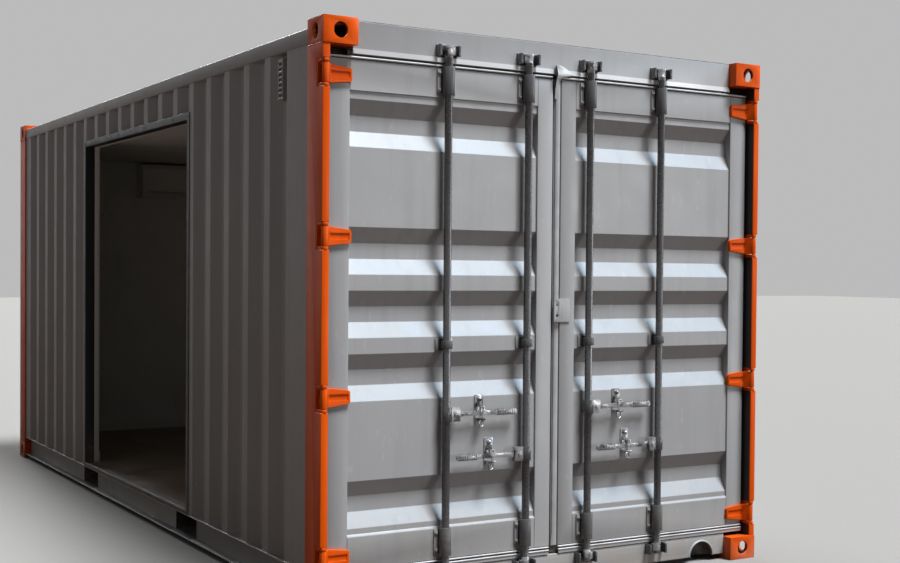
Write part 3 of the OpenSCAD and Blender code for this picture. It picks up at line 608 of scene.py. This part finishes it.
SHEET_END = 2.851
BEAM_HALF = 1.057
SIDE_FACE = 1.209
SIDE_LOW = 0.162
SIDE_TOP = 2.486
SIDE_LINE = fold_line(-SHEET_END, SHEET_END, 19, 0.264, 0.282, 0.069, 0.071, 0.036)
END_FACE_OUT = 3.011
END_LOW = 0.150
END_LINE = fold_line(-BEAM_HALF, BEAM_HALF, 8, 0.082, 0.250, 0.0625, 0.075, 0.044)
DOORWAY_LOW = -1.189
DOORWAY_HIGH = 1.051
OVER_DOORWAY = 2.337
WALL_BEND = 0.012
for name, line, side, low in [
        ("left_wall_door_side", clipped(SIDE_LINE, -SHEET_END, DOORWAY_LOW), -1, SIDE_LOW),
        ("left_wall_end_side", clipped(SIDE_LINE, DOORWAY_HIGH, SHEET_END), -1, SIDE_LOW),
        ("left_wall_over_doorway", clipped(SIDE_LINE, DOORWAY_LOW, DOORWAY_HIGH), -1,
         OVER_DOORWAY),
        ("right_wall", SIDE_LINE, 1, SIDE_LOW)]:
    folded_piece(name.replace("wall", "side_sheet"),
                 [(side * (SIDE_FACE - SHEET / 2 - depth), y, low) for y, depth in line],
                 (0, 0, SIDE_TOP - low), WALL_BEND, name)
folded_piece("closed_end_sheet",
             [(x, END_FACE_OUT - SHEET / 2 - depth, END_LOW) for x, depth in END_LINE],
             (0, 0, 2.346), WALL_BEND, "end_wall")
print("wall sheets folded, bends of", WALL_BEND, "m")

# %% [markdown]
# The roof sheet is stamped, so its ridges die out before they reach the side rails. This
# tree draws the fold line out in three steps: narrow, wide and narrow. Then it sinks the
# two outer edges to the level of the rails, and the narrow steps become the slanted ends
# of the ridges.

# %% The tree that stamps the roof
roof_tree, given = new_tree("stamped_roof", {"Bend Radius": "Float", "Half Width": "Float",
                                             "Base Height": "Float", "Fade": "Float"})
half = given["Half Width"]
base = given["Base Height"]
fade = given["Fade"]
middle = calc(roof_tree, "MULTIPLY", calc(roof_tree, "SUBTRACT", half, fade), 2.0)
drawn = rounded_line(roof_tree, given, 3)
chosen = True
for length in (fade, middle, fade):
    step = add_node(roof_tree, "ShaderNodeCombineXYZ", {"X": length})
    drawn = add_node(roof_tree, "GeometryNodeExtrudeMesh",
                     {"Mesh": drawn, "Selection": chosen, "Offset": step, "Offset Scale": 1.0},
                     mode="EDGES")
    chosen = drawn.outputs["Top"]
place = add_node(roof_tree, "GeometryNodeInputPosition")
parts = add_node(roof_tree, "ShaderNodeSeparateXYZ", {"Vector": place}).outputs
room = calc(roof_tree, "SUBTRACT", half, calc(roof_tree, "ABSOLUTE", parts["X"]))
share = add_node(roof_tree, "ShaderNodeMapRange", {"Value": room, "From Max": fade})
rise = calc(roof_tree, "MULTIPLY", calc(roof_tree, "SUBTRACT", parts["Z"], base), share)
sunk = add_node(roof_tree, "ShaderNodeCombineXYZ",
                {"X": parts["X"], "Y": parts["Y"], "Z": calc(roof_tree, "ADD", rise, base)})
moved = add_node(roof_tree, "GeometryNodeSetPosition", {"Geometry": drawn, "Position": sunk})
close_tree(roof_tree, given, moved)

# %% Roof sheet
ROOF_HALF = 1.205
ROOF_BASE = 2.557
ROOF_RISE = 0.020


def add_box(mesh, low, high):
    with edited(mesh) as work:
        for vertex in bmesh.ops.create_cube(work, size=1.0)["verts"]:
            vertex.co = Vector(low[i] if vertex.co[i] < 0 else high[i] for i in range(3))


ROOF_LINE = fold_line(-SHEET_END, SHEET_END, 26, 0.164305, 0.209, 0.030305, 0.08778, ROOF_RISE)
roof_sheet = mesh_piece("roof_sheet", [(-ROOF_HALF, y, ROOF_BASE + up) for y, up in ROOF_LINE],
                        chain(len(ROOF_LINE)))
run_tree(roof_sheet, roof_tree, {"Bend Radius": 0.015, "Half Width": ROOF_HALF,
                                 "Base Height": ROOF_BASE, "Fade": 0.045,
                                 "Material": grey_paint})
modify(roof_sheet, "SOLIDIFY", thickness=SHEET, offset=0.0)
add_box(roof_sheet.data, (-BEAM_HALF, SHEET_END, ROOF_BASE - SHEET / 2),
        (BEAM_HALF, 2.939, ROOF_BASE + SHEET / 2))
crisp(roof_sheet)
stand_for(roof_sheet, "roof")
print("roof points:", len(roof_sheet.data.vertices))

# %% [markdown]
# A cargo door leaf is a frame of square tube with a folded sheet welded in. Its folds run
# across. Two of the seven places of the pattern stay flat, and the lower one is where the
# handles lie. The bends are tighter than in the walls and catch a thin line of light.

# %% Door leaf sheets
LEAF_TOP = 2.284
LEAF_LOW = 0.320
LEAF_PITCH = (LEAF_TOP - LEAF_LOW) / 7
LEAF_DEPTH = 0.036
LEAF_FACE = -2.963
LEAF_SIDES = (0.108, 1.070)
LEAF_BEND = 0.007

leaf_line = [(LEAF_TOP, 0.0)]
for recess in (0, 2, 3, 4, 6):
    top = LEAF_TOP - LEAF_PITCH / 8 - recess * LEAF_PITCH
    slope = LEAF_PITCH / 4
    leaf_line += [(top, 0.0), (top - slope, LEAF_DEPTH), (top - 2 * slope, LEAF_DEPTH),
                  (top - 3 * slope, 0.0)]
leaf_line.append((LEAF_LOW, 0.0))
for side, name in ((-1, "left_leaf"), (1, "right_leaf")):
    folded_piece(name + "_sheet",
                 [(side * LEAF_SIDES[0], LEAF_FACE + SHEET / 2 + depth, z)
                  for z, depth in leaf_line],
                 (side * (LEAF_SIDES[1] - LEAF_SIDES[0]), 0, 0), LEAF_BEND, name + "_panel",
                 grey_paint, steps=3)
print("pitch of the leaf folds:", round(LEAF_PITCH, 4))

# %% [markdown]
# No steel edge on a container is sharp: castings are rounded, plates are rolled or bent.
# A Bevel modifier gives each solid part that soft edge, which catches the light, and the
# bevelled copy stands for the solid. Each row names the part, the copy, the width of its
# edge, the steps across it, and a finish where the slot's own is not right.

# %% Eased copies of the solid parts


def eased(piece, edge, steps=2):
    shade_smooth(piece)
    return modify(piece, "BEVEL", width=edge, segments=steps, limit_method="ANGLE",
                  angle_limit=math.radians(28.0), harden_normals=True)


def eased_copy(part_name, piece_name, edge, steps, finish=None):
    mesh = NODES[part_name].data.copy()
    with edited(mesh) as work:
        bmesh.ops.remove_doubles(work, verts=work.verts, dist=0.00003)
        bmesh.ops.dissolve_limit(work, angle_limit=math.radians(0.6), verts=work.verts,
                                 edges=work.edges)
    piece = eased(link_object(piece_name, mesh), edge, steps)
    piece.data.materials.clear()
    piece.data.materials.append(finish or MATERIAL_OF[SLOT_OF[part_name]])
    stand_for(piece, part_name)


EASED = [
    ("corner_castings_top", "top_castings", 0.005, 3, casting_paint),
    ("corner_castings_bottom", "bottom_castings", 0.005, 3, casting_paint),
    ("end_posts", "closed_end_posts", 0.006, 3),
    ("door_header", "header_beam", 0.003, 2, header_paint),
    ("door_sill", "sill_beam", 0.003, 2, sill_paint),
    ("end_header", "closed_end_header", 0.005, 3),
    ("end_sill", "closed_end_sill", 0.005, 3),
    ("doorway_frame", "doorway_steel_frame", 0.0015, 2),
    ("left_lining", "left_lining_board", 0.0015, 2),
    ("cam_keepers", "keeper_ears", 0.002, 2, keeper_finish),
    ("hinge_lugs", "lug_forgings", 0.002, 2),
    ("ventilators", "vent_covers", 0.002, 2),
    ("air_conditioner", "indoor_unit", 0.006, 4),
    ("centre_gasket", "centre_seal", 0.002, 2),
    ("lock_plate", "lock_cover_plate", 0.002, 2),
]
for hand in ("left", "right"):
    EASED += [
        ("door_post_" + hand, hand + "_door_post", 0.004, 3, post_paint),
        ("top_rail_" + hand, hand + "_top_rail", 0.005, 3, wall_paint),
        ("bottom_rail_" + hand, hand + "_bottom_rail", 0.002, 2, wall_paint),
        (hand + "_leaf_frame", hand + "_leaf_steel_frame", 0.0035, 3),
        (hand + "_leaf_gasket", hand + "_leaf_seal", 0.0015, 2),
        (hand + "_hinge_blades", hand + "_blade_forgings", 0.003, 3),
        (hand + "_rod_guides", hand + "_guide_forgings", 0.0015, 2, guide_paint),
        (hand + "_handle_retainers", hand + "_retainer_pressings", 0.0015, 2, handle_finish),
    ]
for number, word in enumerate(("one", "two", "three", "four"), 1):
    EASED += [("lock_rod_%d" % number, "lock_rod_" + word, 0.0015, 2, rod_finish),
              ("handle_%d" % number, "handle_bar_" + word, 0.0012, 2, handle_finish)]
for row in EASED:
    eased_copy(*row)
print("eased copies:", len(EASED))

# %% [markdown]
# A container is welded all over: along the sheets, round the posts at the castings, and
# round every lug and guide plate. A bead is a thin ripple of metal in a corner. The tree
# resamples any set of lines at the step of the ripples, and sweeps a small ring along
# them with a random scale.

# %% The tree that lays a bead
bead_tree, given = new_tree("weld_bead", {"Radius": "Float", "Step": "Float",
                                          "Unevenness": "Float", "Seed": "Int"})
path = add_node(bead_tree, "GeometryNodeMeshToCurve", {"Mesh": given["Geometry"]})
even = add_node(bead_tree, "GeometryNodeResampleCurve",
                {"Curve": path, "Length": given["Step"]}, mode="LENGTH")
ring = add_node(bead_tree, "GeometryNodeCurvePrimitiveCircle",
                {"Resolution": 5, "Radius": given["Radius"]}, mode="RADIUS")
uneven = add_node(bead_tree, "FunctionNodeRandomValue",
                  {"Min": calc(bead_tree, "SUBTRACT", 1.0, given["Unevenness"]), "Max": 1.0,
                   "Seed": given["Seed"]}, data_type="FLOAT")
swept = add_node(bead_tree, "GeometryNodeCurveToMesh",
                 {"Curve": even, "Profile Curve": ring, "Scale": uneven.outputs["Value"],
                  "Fill Caps": True})
close_tree(bead_tree, given, swept)


def bead_piece(name, lines, radius, slot, body, step=0.011, seed=1, material=None,
               unevenness=0.35):
    points = []
    edges = []
    for line in lines:
        edges += chain(len(line), len(points))
        points += line
    piece = mesh_piece(name, points, edges)
    run_tree(piece, bead_tree, {"Radius": radius, "Step": step, "Unevenness": unevenness,
                                "Seed": seed, "Material": material or MATERIAL_OF[slot]})
    return carry(piece, body)


# %% Beads on the shell
HALF_WIDE = 1.219
FRONT = -3.029
CASTING = (0.162, 0.178, 0.118)
TOP = 2.591
joint_beads = []
for level in (CASTING[2], TOP - CASTING[2]):
    for y_out, y_in, wide in ((FRONT + 0.012, FRONT + CASTING[1], 0.112),
                              (-FRONT - 0.004, -FRONT - CASTING[1], CASTING[0])):
        joint_beads.append([(0.002 - HALF_WIDE, y_in, level), (0.002 - HALF_WIDE, y_out, level),
                            (wide * 0.45 - HALF_WIDE, y_out, level)])
joint_beads += [[(-x, y, z) for x, y, z in line] for line in joint_beads]
bead_piece("casting_weld_beads", joint_beads, 0.004, "orange_paint", "shell", seed=3)

wall_lines = []
for side, spans in ((-1, [(-SHEET_END, DOORWAY_LOW), (DOORWAY_HIGH, SHEET_END)]),
                    (1, [(-SHEET_END, SHEET_END)])):
    wall_lines += [[(side * (SIDE_FACE - depth + 0.001), y, SIDE_LOW + 0.001)
                    for y, depth in clipped(SIDE_LINE, low, high)] for low, high in spans]
    wall_lines += [[(side * SIDE_FACE, y, SIDE_LOW), (side * SIDE_FACE, y, SIDE_TOP)]
                   for y in (0.002 - SHEET_END, SHEET_END - 0.002)]
bead_piece("wall_weld_beads", wall_lines, 0.003, "grey_paint", "shell", step=0.016, seed=5)

end_lines = [[(x, END_FACE_OUT - depth + 0.001, level) for x, depth in END_LINE]
             for level in (END_LOW + 0.002, 2.494)]
bead_piece("closed_end_weld_beads", end_lines, 0.003, "grey_paint", "shell", step=0.016, seed=7)
print("beads laid on the shell:", len(joint_beads) + len(wall_lines) + len(end_lines))

# %% [markdown]
# Beads on a leaf ride with it, so each body gets its own piece. They run round the folded
# sheet and, as closed loops, round the small plates: rod guides, bearings, retainers,
# keepers, and the hinge blades with their tapered outline.

# %% Beads on the leaves and round the fittings
FRAME_FACE = -2.971
PIN_X = 1.201
BLADE_TIP = 0.029
HINGE_LOW = 0.238
HINGE_STEP = (2.347 - HINGE_LOW) / 3
RETAINER_OFF = 0.186
BEARING_LEVEL = LEAF_TOP - 4 * LEAF_PITCH
HANDLES = ((-ROD_OUT, HIGH_HANDLE, 1), (-ROD_IN, LOW_HANDLE, -1),
           (ROD_IN, HIGH_HANDLE, 1), (ROD_OUT, LOW_HANDLE, -1))


def plate_loop(x, half_wide, low, high, y):
    corners = [(x - half_wide, y, low), (x + half_wide, y, low), (x + half_wide, y, high),
               (x - half_wide, y, high)]
    return corners + corners[:1]


def blade_loop(side, level):
    half = [(0.036, -0.041), (0.066, -0.037), (0.130, -BLADE_TIP), (0.139, 0.008 - BLADE_TIP)]
    outline = half + [(x, -z) for x, z in reversed(half)]
    return [(side * (PIN_X - x), FRAME_FACE, level + z) for x, z in outline + outline[:1]]


for side, name, handles in ((-1, "left", HANDLES[:2]), (1, "right", HANDLES[2:])):
    body = name + "_door"
    inner = side * (LEAF_SIDES[0] + 0.001)
    outer = side * (LEAF_SIDES[1] - 0.001)
    edges = [[(x, LEAF_FACE + depth, z) for z, depth in leaf_line] for x in (inner, outer)]
    edges.append([(inner, LEAF_FACE, LEAF_TOP - 0.001), (outer, LEAF_FACE, LEAF_TOP - 0.001)])
    bead_piece(name + "_leaf_weld_beads", edges, 0.0022, "grey_paint", body, step=0.012, seed=11)
    loops = []
    for x, level, toward in handles:
        loops += [plate_loop(x, 0.046, low, low + 0.110, FRAME_FACE) for low in (0.208, 2.304)]
        loops.append(plate_loop(x, 0.043, BEARING_LEVEL - 0.027, BEARING_LEVEL + 0.027,
                                LEAF_FACE))
        loops.append(plate_loop(x + toward * RETAINER_OFF, 0.022, level - 0.040, level + 0.080,
                                LEAF_FACE))
    bead_piece(name + "_plate_beads", loops, 0.0017, "grey_paint", body, step=0.009, seed=14)
    blades = [blade_loop(side, HINGE_LOW + HINGE_STEP * i) for i in range(4)]
    bead_piece(name + "_blade_beads", blades, 0.0024, "orange_paint", body, step=0.009,
               seed=15)
loops = [plate_loop(x, 0.054, low, low + 0.056, FRAME_FACE) for x, level, toward in HANDLES
         for low in (0.078, 2.469)]
bead_piece("keeper_beads", loops, 0.0017, "grey_paint", "shell", step=0.009, seed=16)
print("beads laid on both leaves and round the keepers")

# %% [markdown]
# The doors close on rubber lips that follow the frame, above and below. Their light tone is a
# painted highlight. The same tree sweeps the lips with no unevenness. Thin dark lines of sealant
# fill the joints where the rails of a leaf meet its stiles, and where the roof laps the header. The
# line on the header also stands as a painted shadow under the front edge of the roof.

# %% Rubber lips and sealant lines
RAILS = ((0.179, LEAF_LOW), (LEAF_TOP, 2.418))
LEAF_EDGE_SEAM = (1.170, 0.179, 2.418)
LIP_END = 1.168
LEAVES = ((-1, "left", 0.030), (1, "right", 0.026))


def two_tone(name, noise, low, high, tones, gloss, grain, depth):
    finish = Finish(name)
    return finish.set(finish.mix(finish.ramp(finish.noise(*noise), low, high), *tones), gloss,
                      finish.bump(finish.noise(grain, 2.0), depth, 0.4))


joint_sealant = two_tone("joint_sealant", (30.0, 3.0), 0.35, 0.65,
                         ((0.035, 0.033, 0.032), (0.060, 0.056, 0.052)), 0.55, 300.0, 0.0003)
# Painted highlight: the lips get a light tone that stands for the sky they reflect.
lip_highlight_paint = two_tone("lip_highlight_paint", (9.0, 4.0), 0.4, 0.7,
                      ((0.62, 0.63, 0.65), (0.42, 0.425, 0.43)), 0.30, 120.0, 0.0004)
for side, name, near in LEAVES:
    for title, radius, levels in (("_top_lip", 0.0055, [(-2.9728, 2.4284)]),
                                  ("_foot_lips", 0.0040, [(-2.9735, 0.1715),
                                                          (-2.9757, 0.1575)])):
        lips = [[(side * near, y, z), (side * LIP_END, y, z)] for y, z in levels]
        bead_piece(name + title, lips, radius, "seal_rubber", name + "_door", step=0.04,
                   material=lip_highlight_paint, unevenness=0.0)
    seams = [(x, *rail) for x in LEAF_SIDES for rail in RAILS] + [LEAF_EDGE_SEAM]
    joints = [[(side * x, FRAME_FACE, low), (side * x, FRAME_FACE, high)]
              for x, low, high in seams]
    bead_piece(name + "_leaf_sealant", joints, 0.0013, "seal_rubber", name + "_door", step=0.02,
               material=joint_sealant)
# This dark line is sealant and also a painted shadow under the front edge of the roof.
bead_piece("header_sealant", [[(x, -2.969, 2.5885) for x in (-BEAM_HALF, BEAM_HALF)]], 0.0021,
           "seal_rubber", "shell", step=0.02, material=joint_sealant)
print("lips and sealant lines laid")

# %% [markdown]
# The centre seal runs past the top of the doors, where it is spread over the lip of the
# header and its free edge stands out from the doors. Each row below gives a height, how
# far the free edge stands out, where the seal lies, and how far it spreads to the right.

# %% Spread end of the centre seal
SEAL_EDGE = -0.015
FLARE = [(2.320, 0.0015, -2.9708, -0.004), (2.350, 0.005, -2.9712, -0.002),
         (2.385, 0.012, -2.9720, 0.002), (2.412, 0.018, -2.9735, 0.010),
         (2.426, 0.021, -2.9765, 0.022), (2.437, 0.023, -2.9808, 0.062),
         (2.446, 0.024, -2.9812, 0.084), (2.458, 0.025, -2.9772, 0.070),
         (2.471, 0.024, -2.9738, 0.051), (2.481, 0.020, -2.9736, 0.034),
         (2.486, 0.014, -2.9738, 0.016)]
WIDE = 7
flare_points = []
for height, stand_out, y, reach in FLARE:
    flare_points += [(SEAL_EDGE - 0.004, y - stand_out, height), (SEAL_EDGE, y - 0.001, height)]
    flare_points += [(SEAL_EDGE + (reach - SEAL_EDGE) * share,
                      y - 0.0035 * math.sin(math.pi * share), height)
                     for share in (0.2, 0.4, 0.6, 0.8, 1.0)]
flare_faces = [(row * WIDE + i, row * WIDE + i + 1, (row + 1) * WIDE + i + 1, (row + 1) * WIDE + i)
               for row in range(len(FLARE) - 1) for i in range(WIDE - 1)]
flare = mesh_piece("centre_seal_flare", flare_points, faces=flare_faces)
# The free edge of the seal takes the dark sealant finish, a painted shade on its side; the upper
# rows take the light lip finish, a painted highlight.
for finish in (lip_highlight_paint, MATERIAL_OF["seal_rubber"], joint_sealant):
    flare.data.materials.append(finish)
for number, polygon in enumerate(flare.data.polygons):
    row, column = divmod(number, WIDE - 1)
    polygon.material_index = 2 if column == 0 else int(row < 4)
modify(flare, "SUBSURF", levels=2)
modify(flare, "SOLIDIFY", thickness=0.0022, offset=0.0)
shade_smooth(flare)
carry(flare, "right_door")
print("faces in the spread end of the seal:", len(flare.data.polygons))

# %% [markdown]
# The grips of the handles are ribbed so that a wet glove holds them. Each rib is a small
# ring round the bar, and the same tree makes them all.

# %% Ribs on the handles
GRIP_RING = ((-3.0066, -0.010), (-3.0066, 0.010), (-3.0046, 0.0144), (-2.9934, 0.0144),
             (-2.9914, 0.010), (-2.9914, -0.010), (-2.9934, -0.0144), (-3.0046, -0.0144),
             (-3.0066, -0.010))
RIBS = 10
for number, (x, level, toward) in enumerate(HANDLES, 1):
    rings = [[(x + toward * (0.270 + 0.0095 * i), y, level + z) for y, z in GRIP_RING]
             for i in range(RIBS)]
    bead_piece("grip_ribs_%d" % number, rings, 0.0011, "galvanised", "grip_%d" % number,
               step=0.004, material=keeper_finish, unevenness=0.1)
print("ribs on the grips:", len(HANDLES) * RIBS)

# %% [markdown]
# Screws and rivets repeat by the hundred. One small head with slanted sides is enough: the
# tree sets it on every point of a list, turns it to look outward, and spins each one by
# chance, as a hand driver leaves them.

# %% The tree that sets heads on points
head_tree, given = new_tree("fastener_heads", {"Radius": "Float", "Height": "Float",
                                               "Sides": "Int", "Outward": "Vector",
                                               "Seed": "Int"})
head = add_node(head_tree, "GeometryNodeMeshCone",
                {"Vertices": given["Sides"], "Radius Bottom": given["Radius"],
                 "Radius Top": calc(head_tree, "MULTIPLY", given["Radius"], 0.68),
                 "Depth": given["Height"]})
spin = add_node(head_tree, "FunctionNodeRandomValue", {"Min": 0.0, "Max": math.tau,
                                                       "Seed": given["Seed"]},
                data_type="FLOAT")
spun = add_node(head_tree, "ShaderNodeCombineXYZ", {"Z": spin.outputs["Value"]})
turned = add_node(head_tree, "FunctionNodeAlignRotationToVector",
                  {"Rotation": spun, "Vector": given["Outward"]}, axis="Z")
set_heads = add_node(head_tree, "GeometryNodeInstanceOnPoints",
                     {"Points": given["Geometry"], "Instance": head, "Rotation": turned})
close_tree(head_tree, given, set_heads, smooth=False)


def head_piece(name, points, outward, radius, height, slot="galvanised", sides=10, seed=1):
    piece = mesh_piece(name, points)
    run_tree(piece, head_tree, {"Radius": radius, "Height": height, "Sides": sides,
                                "Outward": Vector(outward), "Seed": seed,
                                "Material": MATERIAL_OF[slot]})
    return carry(piece, "shell")


# %% [markdown]
# The floor boards are screwed to every cross member. The linings are screwed along the
# joints of the boards, every 1.22 m, and each joint carries a flat cover strip, except
# where the doorway leaves no room.

# %% Screws in the floor and the linings
FLOOR_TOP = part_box("floor_boards")[1][2]
LEFT_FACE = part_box("left_lining")[1][0]
RIGHT_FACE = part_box("right_lining")[0][0]
END_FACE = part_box("end_lining")[0][1]
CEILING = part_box("ceiling_panel")[0][2]
CROSS_STEP = (2 * SHEET_END - 0.120) / 14
OPENING = (-1.149, 1.011)
JOINTS = [-2.24 + 1.22 * i for i in range(4)]
HEIGHTS = [0.27, 0.68, 1.09, 1.50, 1.91, 2.27]


def clear_of_doorway(y):
    return y < OPENING[0] - 0.03 or y > OPENING[1] + 0.03


floor_points = [(x, 0.052 - SHEET_END + row * CROSS_STEP, FLOOR_TOP) for row in range(15)
                for x in (-1.08, -0.82, -0.55, -0.28, -0.04, 0.04, 0.28, 0.55, 0.82, 1.08)]
head_piece("floor_screws", floor_points, (0, 0, 1), 0.0055, 0.0008)
rows = [y + side * 0.032 for y in JOINTS for side in (-1, 1)]
for name, outward, points in (
        ("left_lining_screws", (1, 0, 0),
         [(LEFT_FACE, y, z) for y in rows if clear_of_doorway(y) for z in HEIGHTS]),
        ("right_lining_screws", (-1, 0, 0), [(RIGHT_FACE, y, z) for y in rows for z in HEIGHTS]),
        ("end_lining_screws", (0, -1, 0),
         [(x, END_FACE, z) for x in (-1.09, -0.64, -0.58, 0.58, 0.64, 1.09) for z in HEIGHTS]),
        ("ceiling_screws", (0, 0, -1),
         [(x, y, CEILING) for y in rows for x in (-0.95, -0.48, 0.0, 0.48, 0.95)])):
    head_piece(name, points, outward, 0.005, 0.0012, seed=4)
    print(name, len(points))

# %% [markdown]
# The cover strips are thin flat bars with broken edges. The skirting along the foot of the
# walls is a taller one, and hides the gap that the floor boards need. The door seal ends
# below in a flat skirt that hangs down to the sill, and each leaf carries its own.

# %% Cover strips, skirting and seal skirts
STRIP_HALF = 0.018
STRIP = 0.003
SKIRTING = 0.009
SKIRTING_TOP = FLOOR_TOP + 0.070


def bar_piece(name, boxes, edge, slot, body):
    piece = mesh_piece(name, [])
    piece.data.materials.append(MATERIAL_OF[slot])
    for low, high in boxes:
        add_box(piece.data, low, high)
    return carry(eased(piece, edge), body)


strip_boxes = []
for y in JOINTS:
    places = [(RIGHT_FACE - STRIP, RIGHT_FACE, FLOOR_TOP)]
    if clear_of_doorway(y):
        places.append((LEFT_FACE, LEFT_FACE + STRIP, FLOOR_TOP))
    places.append((LEFT_FACE, RIGHT_FACE, CEILING - STRIP))
    strip_boxes += [((x_low, y - STRIP_HALF, z_low), (x_high, y + STRIP_HALF, CEILING))
                    for x_low, x_high, z_low in places]
strip_boxes += [((x - STRIP_HALF, END_FACE - STRIP, FLOOR_TOP), (x + STRIP_HALF, END_FACE, CEILING))
                for x in (-0.61, 0.61)]
for x_low, y_low, x_high, y_high in (
        (RIGHT_FACE - SKIRTING, 0.002 - SHEET_END, RIGHT_FACE, END_FACE),
        (LEFT_FACE, 0.002 - SHEET_END, LEFT_FACE + SKIRTING, OPENING[0] - 0.011),
        (LEFT_FACE, OPENING[1] + 0.011, LEFT_FACE + SKIRTING, END_FACE),
        (LEFT_FACE, END_FACE - SKIRTING, RIGHT_FACE, END_FACE)):
    strip_boxes.append(((x_low, y_low, FLOOR_TOP), (x_high, y_high, SKIRTING_TOP)))
bar_piece("lining_strips", strip_boxes, 0.001, "lining_board", "shell")
for side, name, near in LEAVES:
    x_low, x_high = sorted((side * near, side * LIP_END))
    bar_piece(name + "_seal_skirt", [((x_low, -2.9757, 0.1385), (x_high, -2.9737, 0.1550))],
              0.0008, "seal_rubber", name + "_door")
print("strips and skirting:", len(strip_boxes))

# %% [markdown]
# Outside, the ventilator covers hang on four small screws each, and the trim of the
# doorway is riveted to the wall.

# %% Screws and rivets outside
TRIM = -1.213
for side, name in ((-1, "left_vent_screws"), (1, "right_vent_screws")):
    head_piece(name, [(side * 1.201, y, z) for y in (-2.5065, -2.4585) for z in (2.281, 2.461)],
               (side, 0, 0), 0.0032, 0.0014, sides=8, seed=9)
trim_points = [(TRIM, y, 0.30 + 0.245 * i)
               for y in (OPENING[0] - 0.020, OPENING[1] + 0.020) for i in range(9)]
trim_points += [(TRIM, OPENING[0] - 0.020 + 0.275 * i, 2.317) for i in range(9)]
head_piece("doorway_trim_rivets", trim_points, (-1, 0, 0), 0.005, 0.002, "dark_paint", seed=12)
print("rivets round the doorway:", len(trim_points))

# %% [markdown]
# The stage is a pale floor and an even sky. Daylight comes from above and from the right
# front, and the long side lies in shade. The first lamp stands high, so slopes that look
# up are bright and slopes that look down are dark. The second is low and fills the front
# a little. The third lights the closed end. The last three are seen only in reflections:
# they make the slopes gleam, give the handles their sparkle, and edge the lock rods.

# %% Stage and lights
FLOOR_TONE = (0.25, 0.246, 0.238)
BOUNCE_TONE = (0.072, 0.050, 0.039)
REACH = 60
corners = [(REACH * x, REACH * y, 0) for x, y in ((-1, -1), (1, -1), (1, 1), (-1, 1))]
stage_floor = mesh_piece("stage_floor", corners, faces=[(0, 1, 2, 3)])
floor_finish = Finish("pale_floor")
seen = floor_finish.add("LightPath").outputs["Is Camera Ray"]
floor_finish.set(floor_finish.mix(seen, BOUNCE_TONE, FLOOR_TONE), 0.9)
stage_floor.data.materials.append(floor_finish.material)


def daylight(name, azimuth, elevation, power, softness, colour=(1.0, 1.0, 1.0)):
    """A far soft lamp. Azimuth 0 is straight in front of the cargo doors, 90 is the right."""
    data = bpy.data.lights.new(name, "SUN")
    data.energy = power
    data.angle = math.radians(softness)
    data.color = colour
    lamp = link_object(name, data)
    turn = math.radians(azimuth)
    rise = math.radians(elevation)
    toward = Vector((math.sin(turn) * math.cos(rise), -math.cos(turn) * math.cos(rise),
                     math.sin(rise)))
    lamp.matrix_world = (Matrix.Translation(toward * 20.0)
                         @ toward.to_track_quat("Z", "Y").to_matrix().to_4x4())
    return lamp


daylight("high_skylight", 25, 66, 6.0, 20, (0.97, 0.985, 1.0))
daylight("low_gate_light", 38, 8, 0.52, 16).visible_glossy = False
daylight("far_gate_light", 180, 30, 1.7, 18)
for gleam in (daylight("slope_gleam", 45, 43, 0.95, 20, (0.46, 0.74, 1.0)),
              daylight("handle_gleam", 33, 3, 0.16, 10),
              daylight("rod_gleam", 86, 6, 2.4, 48)):
    gleam.visible_diffuse = False

world = bpy.data.worlds.new("even_sky")
world.use_nodes = True
bpy.context.scene.world = world
sky = world.node_tree
rays = add_node(sky, "ShaderNodeLightPath").outputs
shown = calc(sky, "MAXIMUM", rays["Is Camera Ray"], rays["Is Transmission Ray"])
shown = calc(sky, "MAXIMUM", shown, rays["Is Glossy Ray"])
strength = add_node(sky, "ShaderNodeMapRange", {"Value": shown, "To Min": 0.060, "To Max": 0.50})
fill_sockets(sky, sky.nodes["Background"], {"Color": (1.0, 1.0, 1.0), "Strength": strength})
bpy.context.scene.view_settings.view_transform = "Standard"
print("lamps placed")
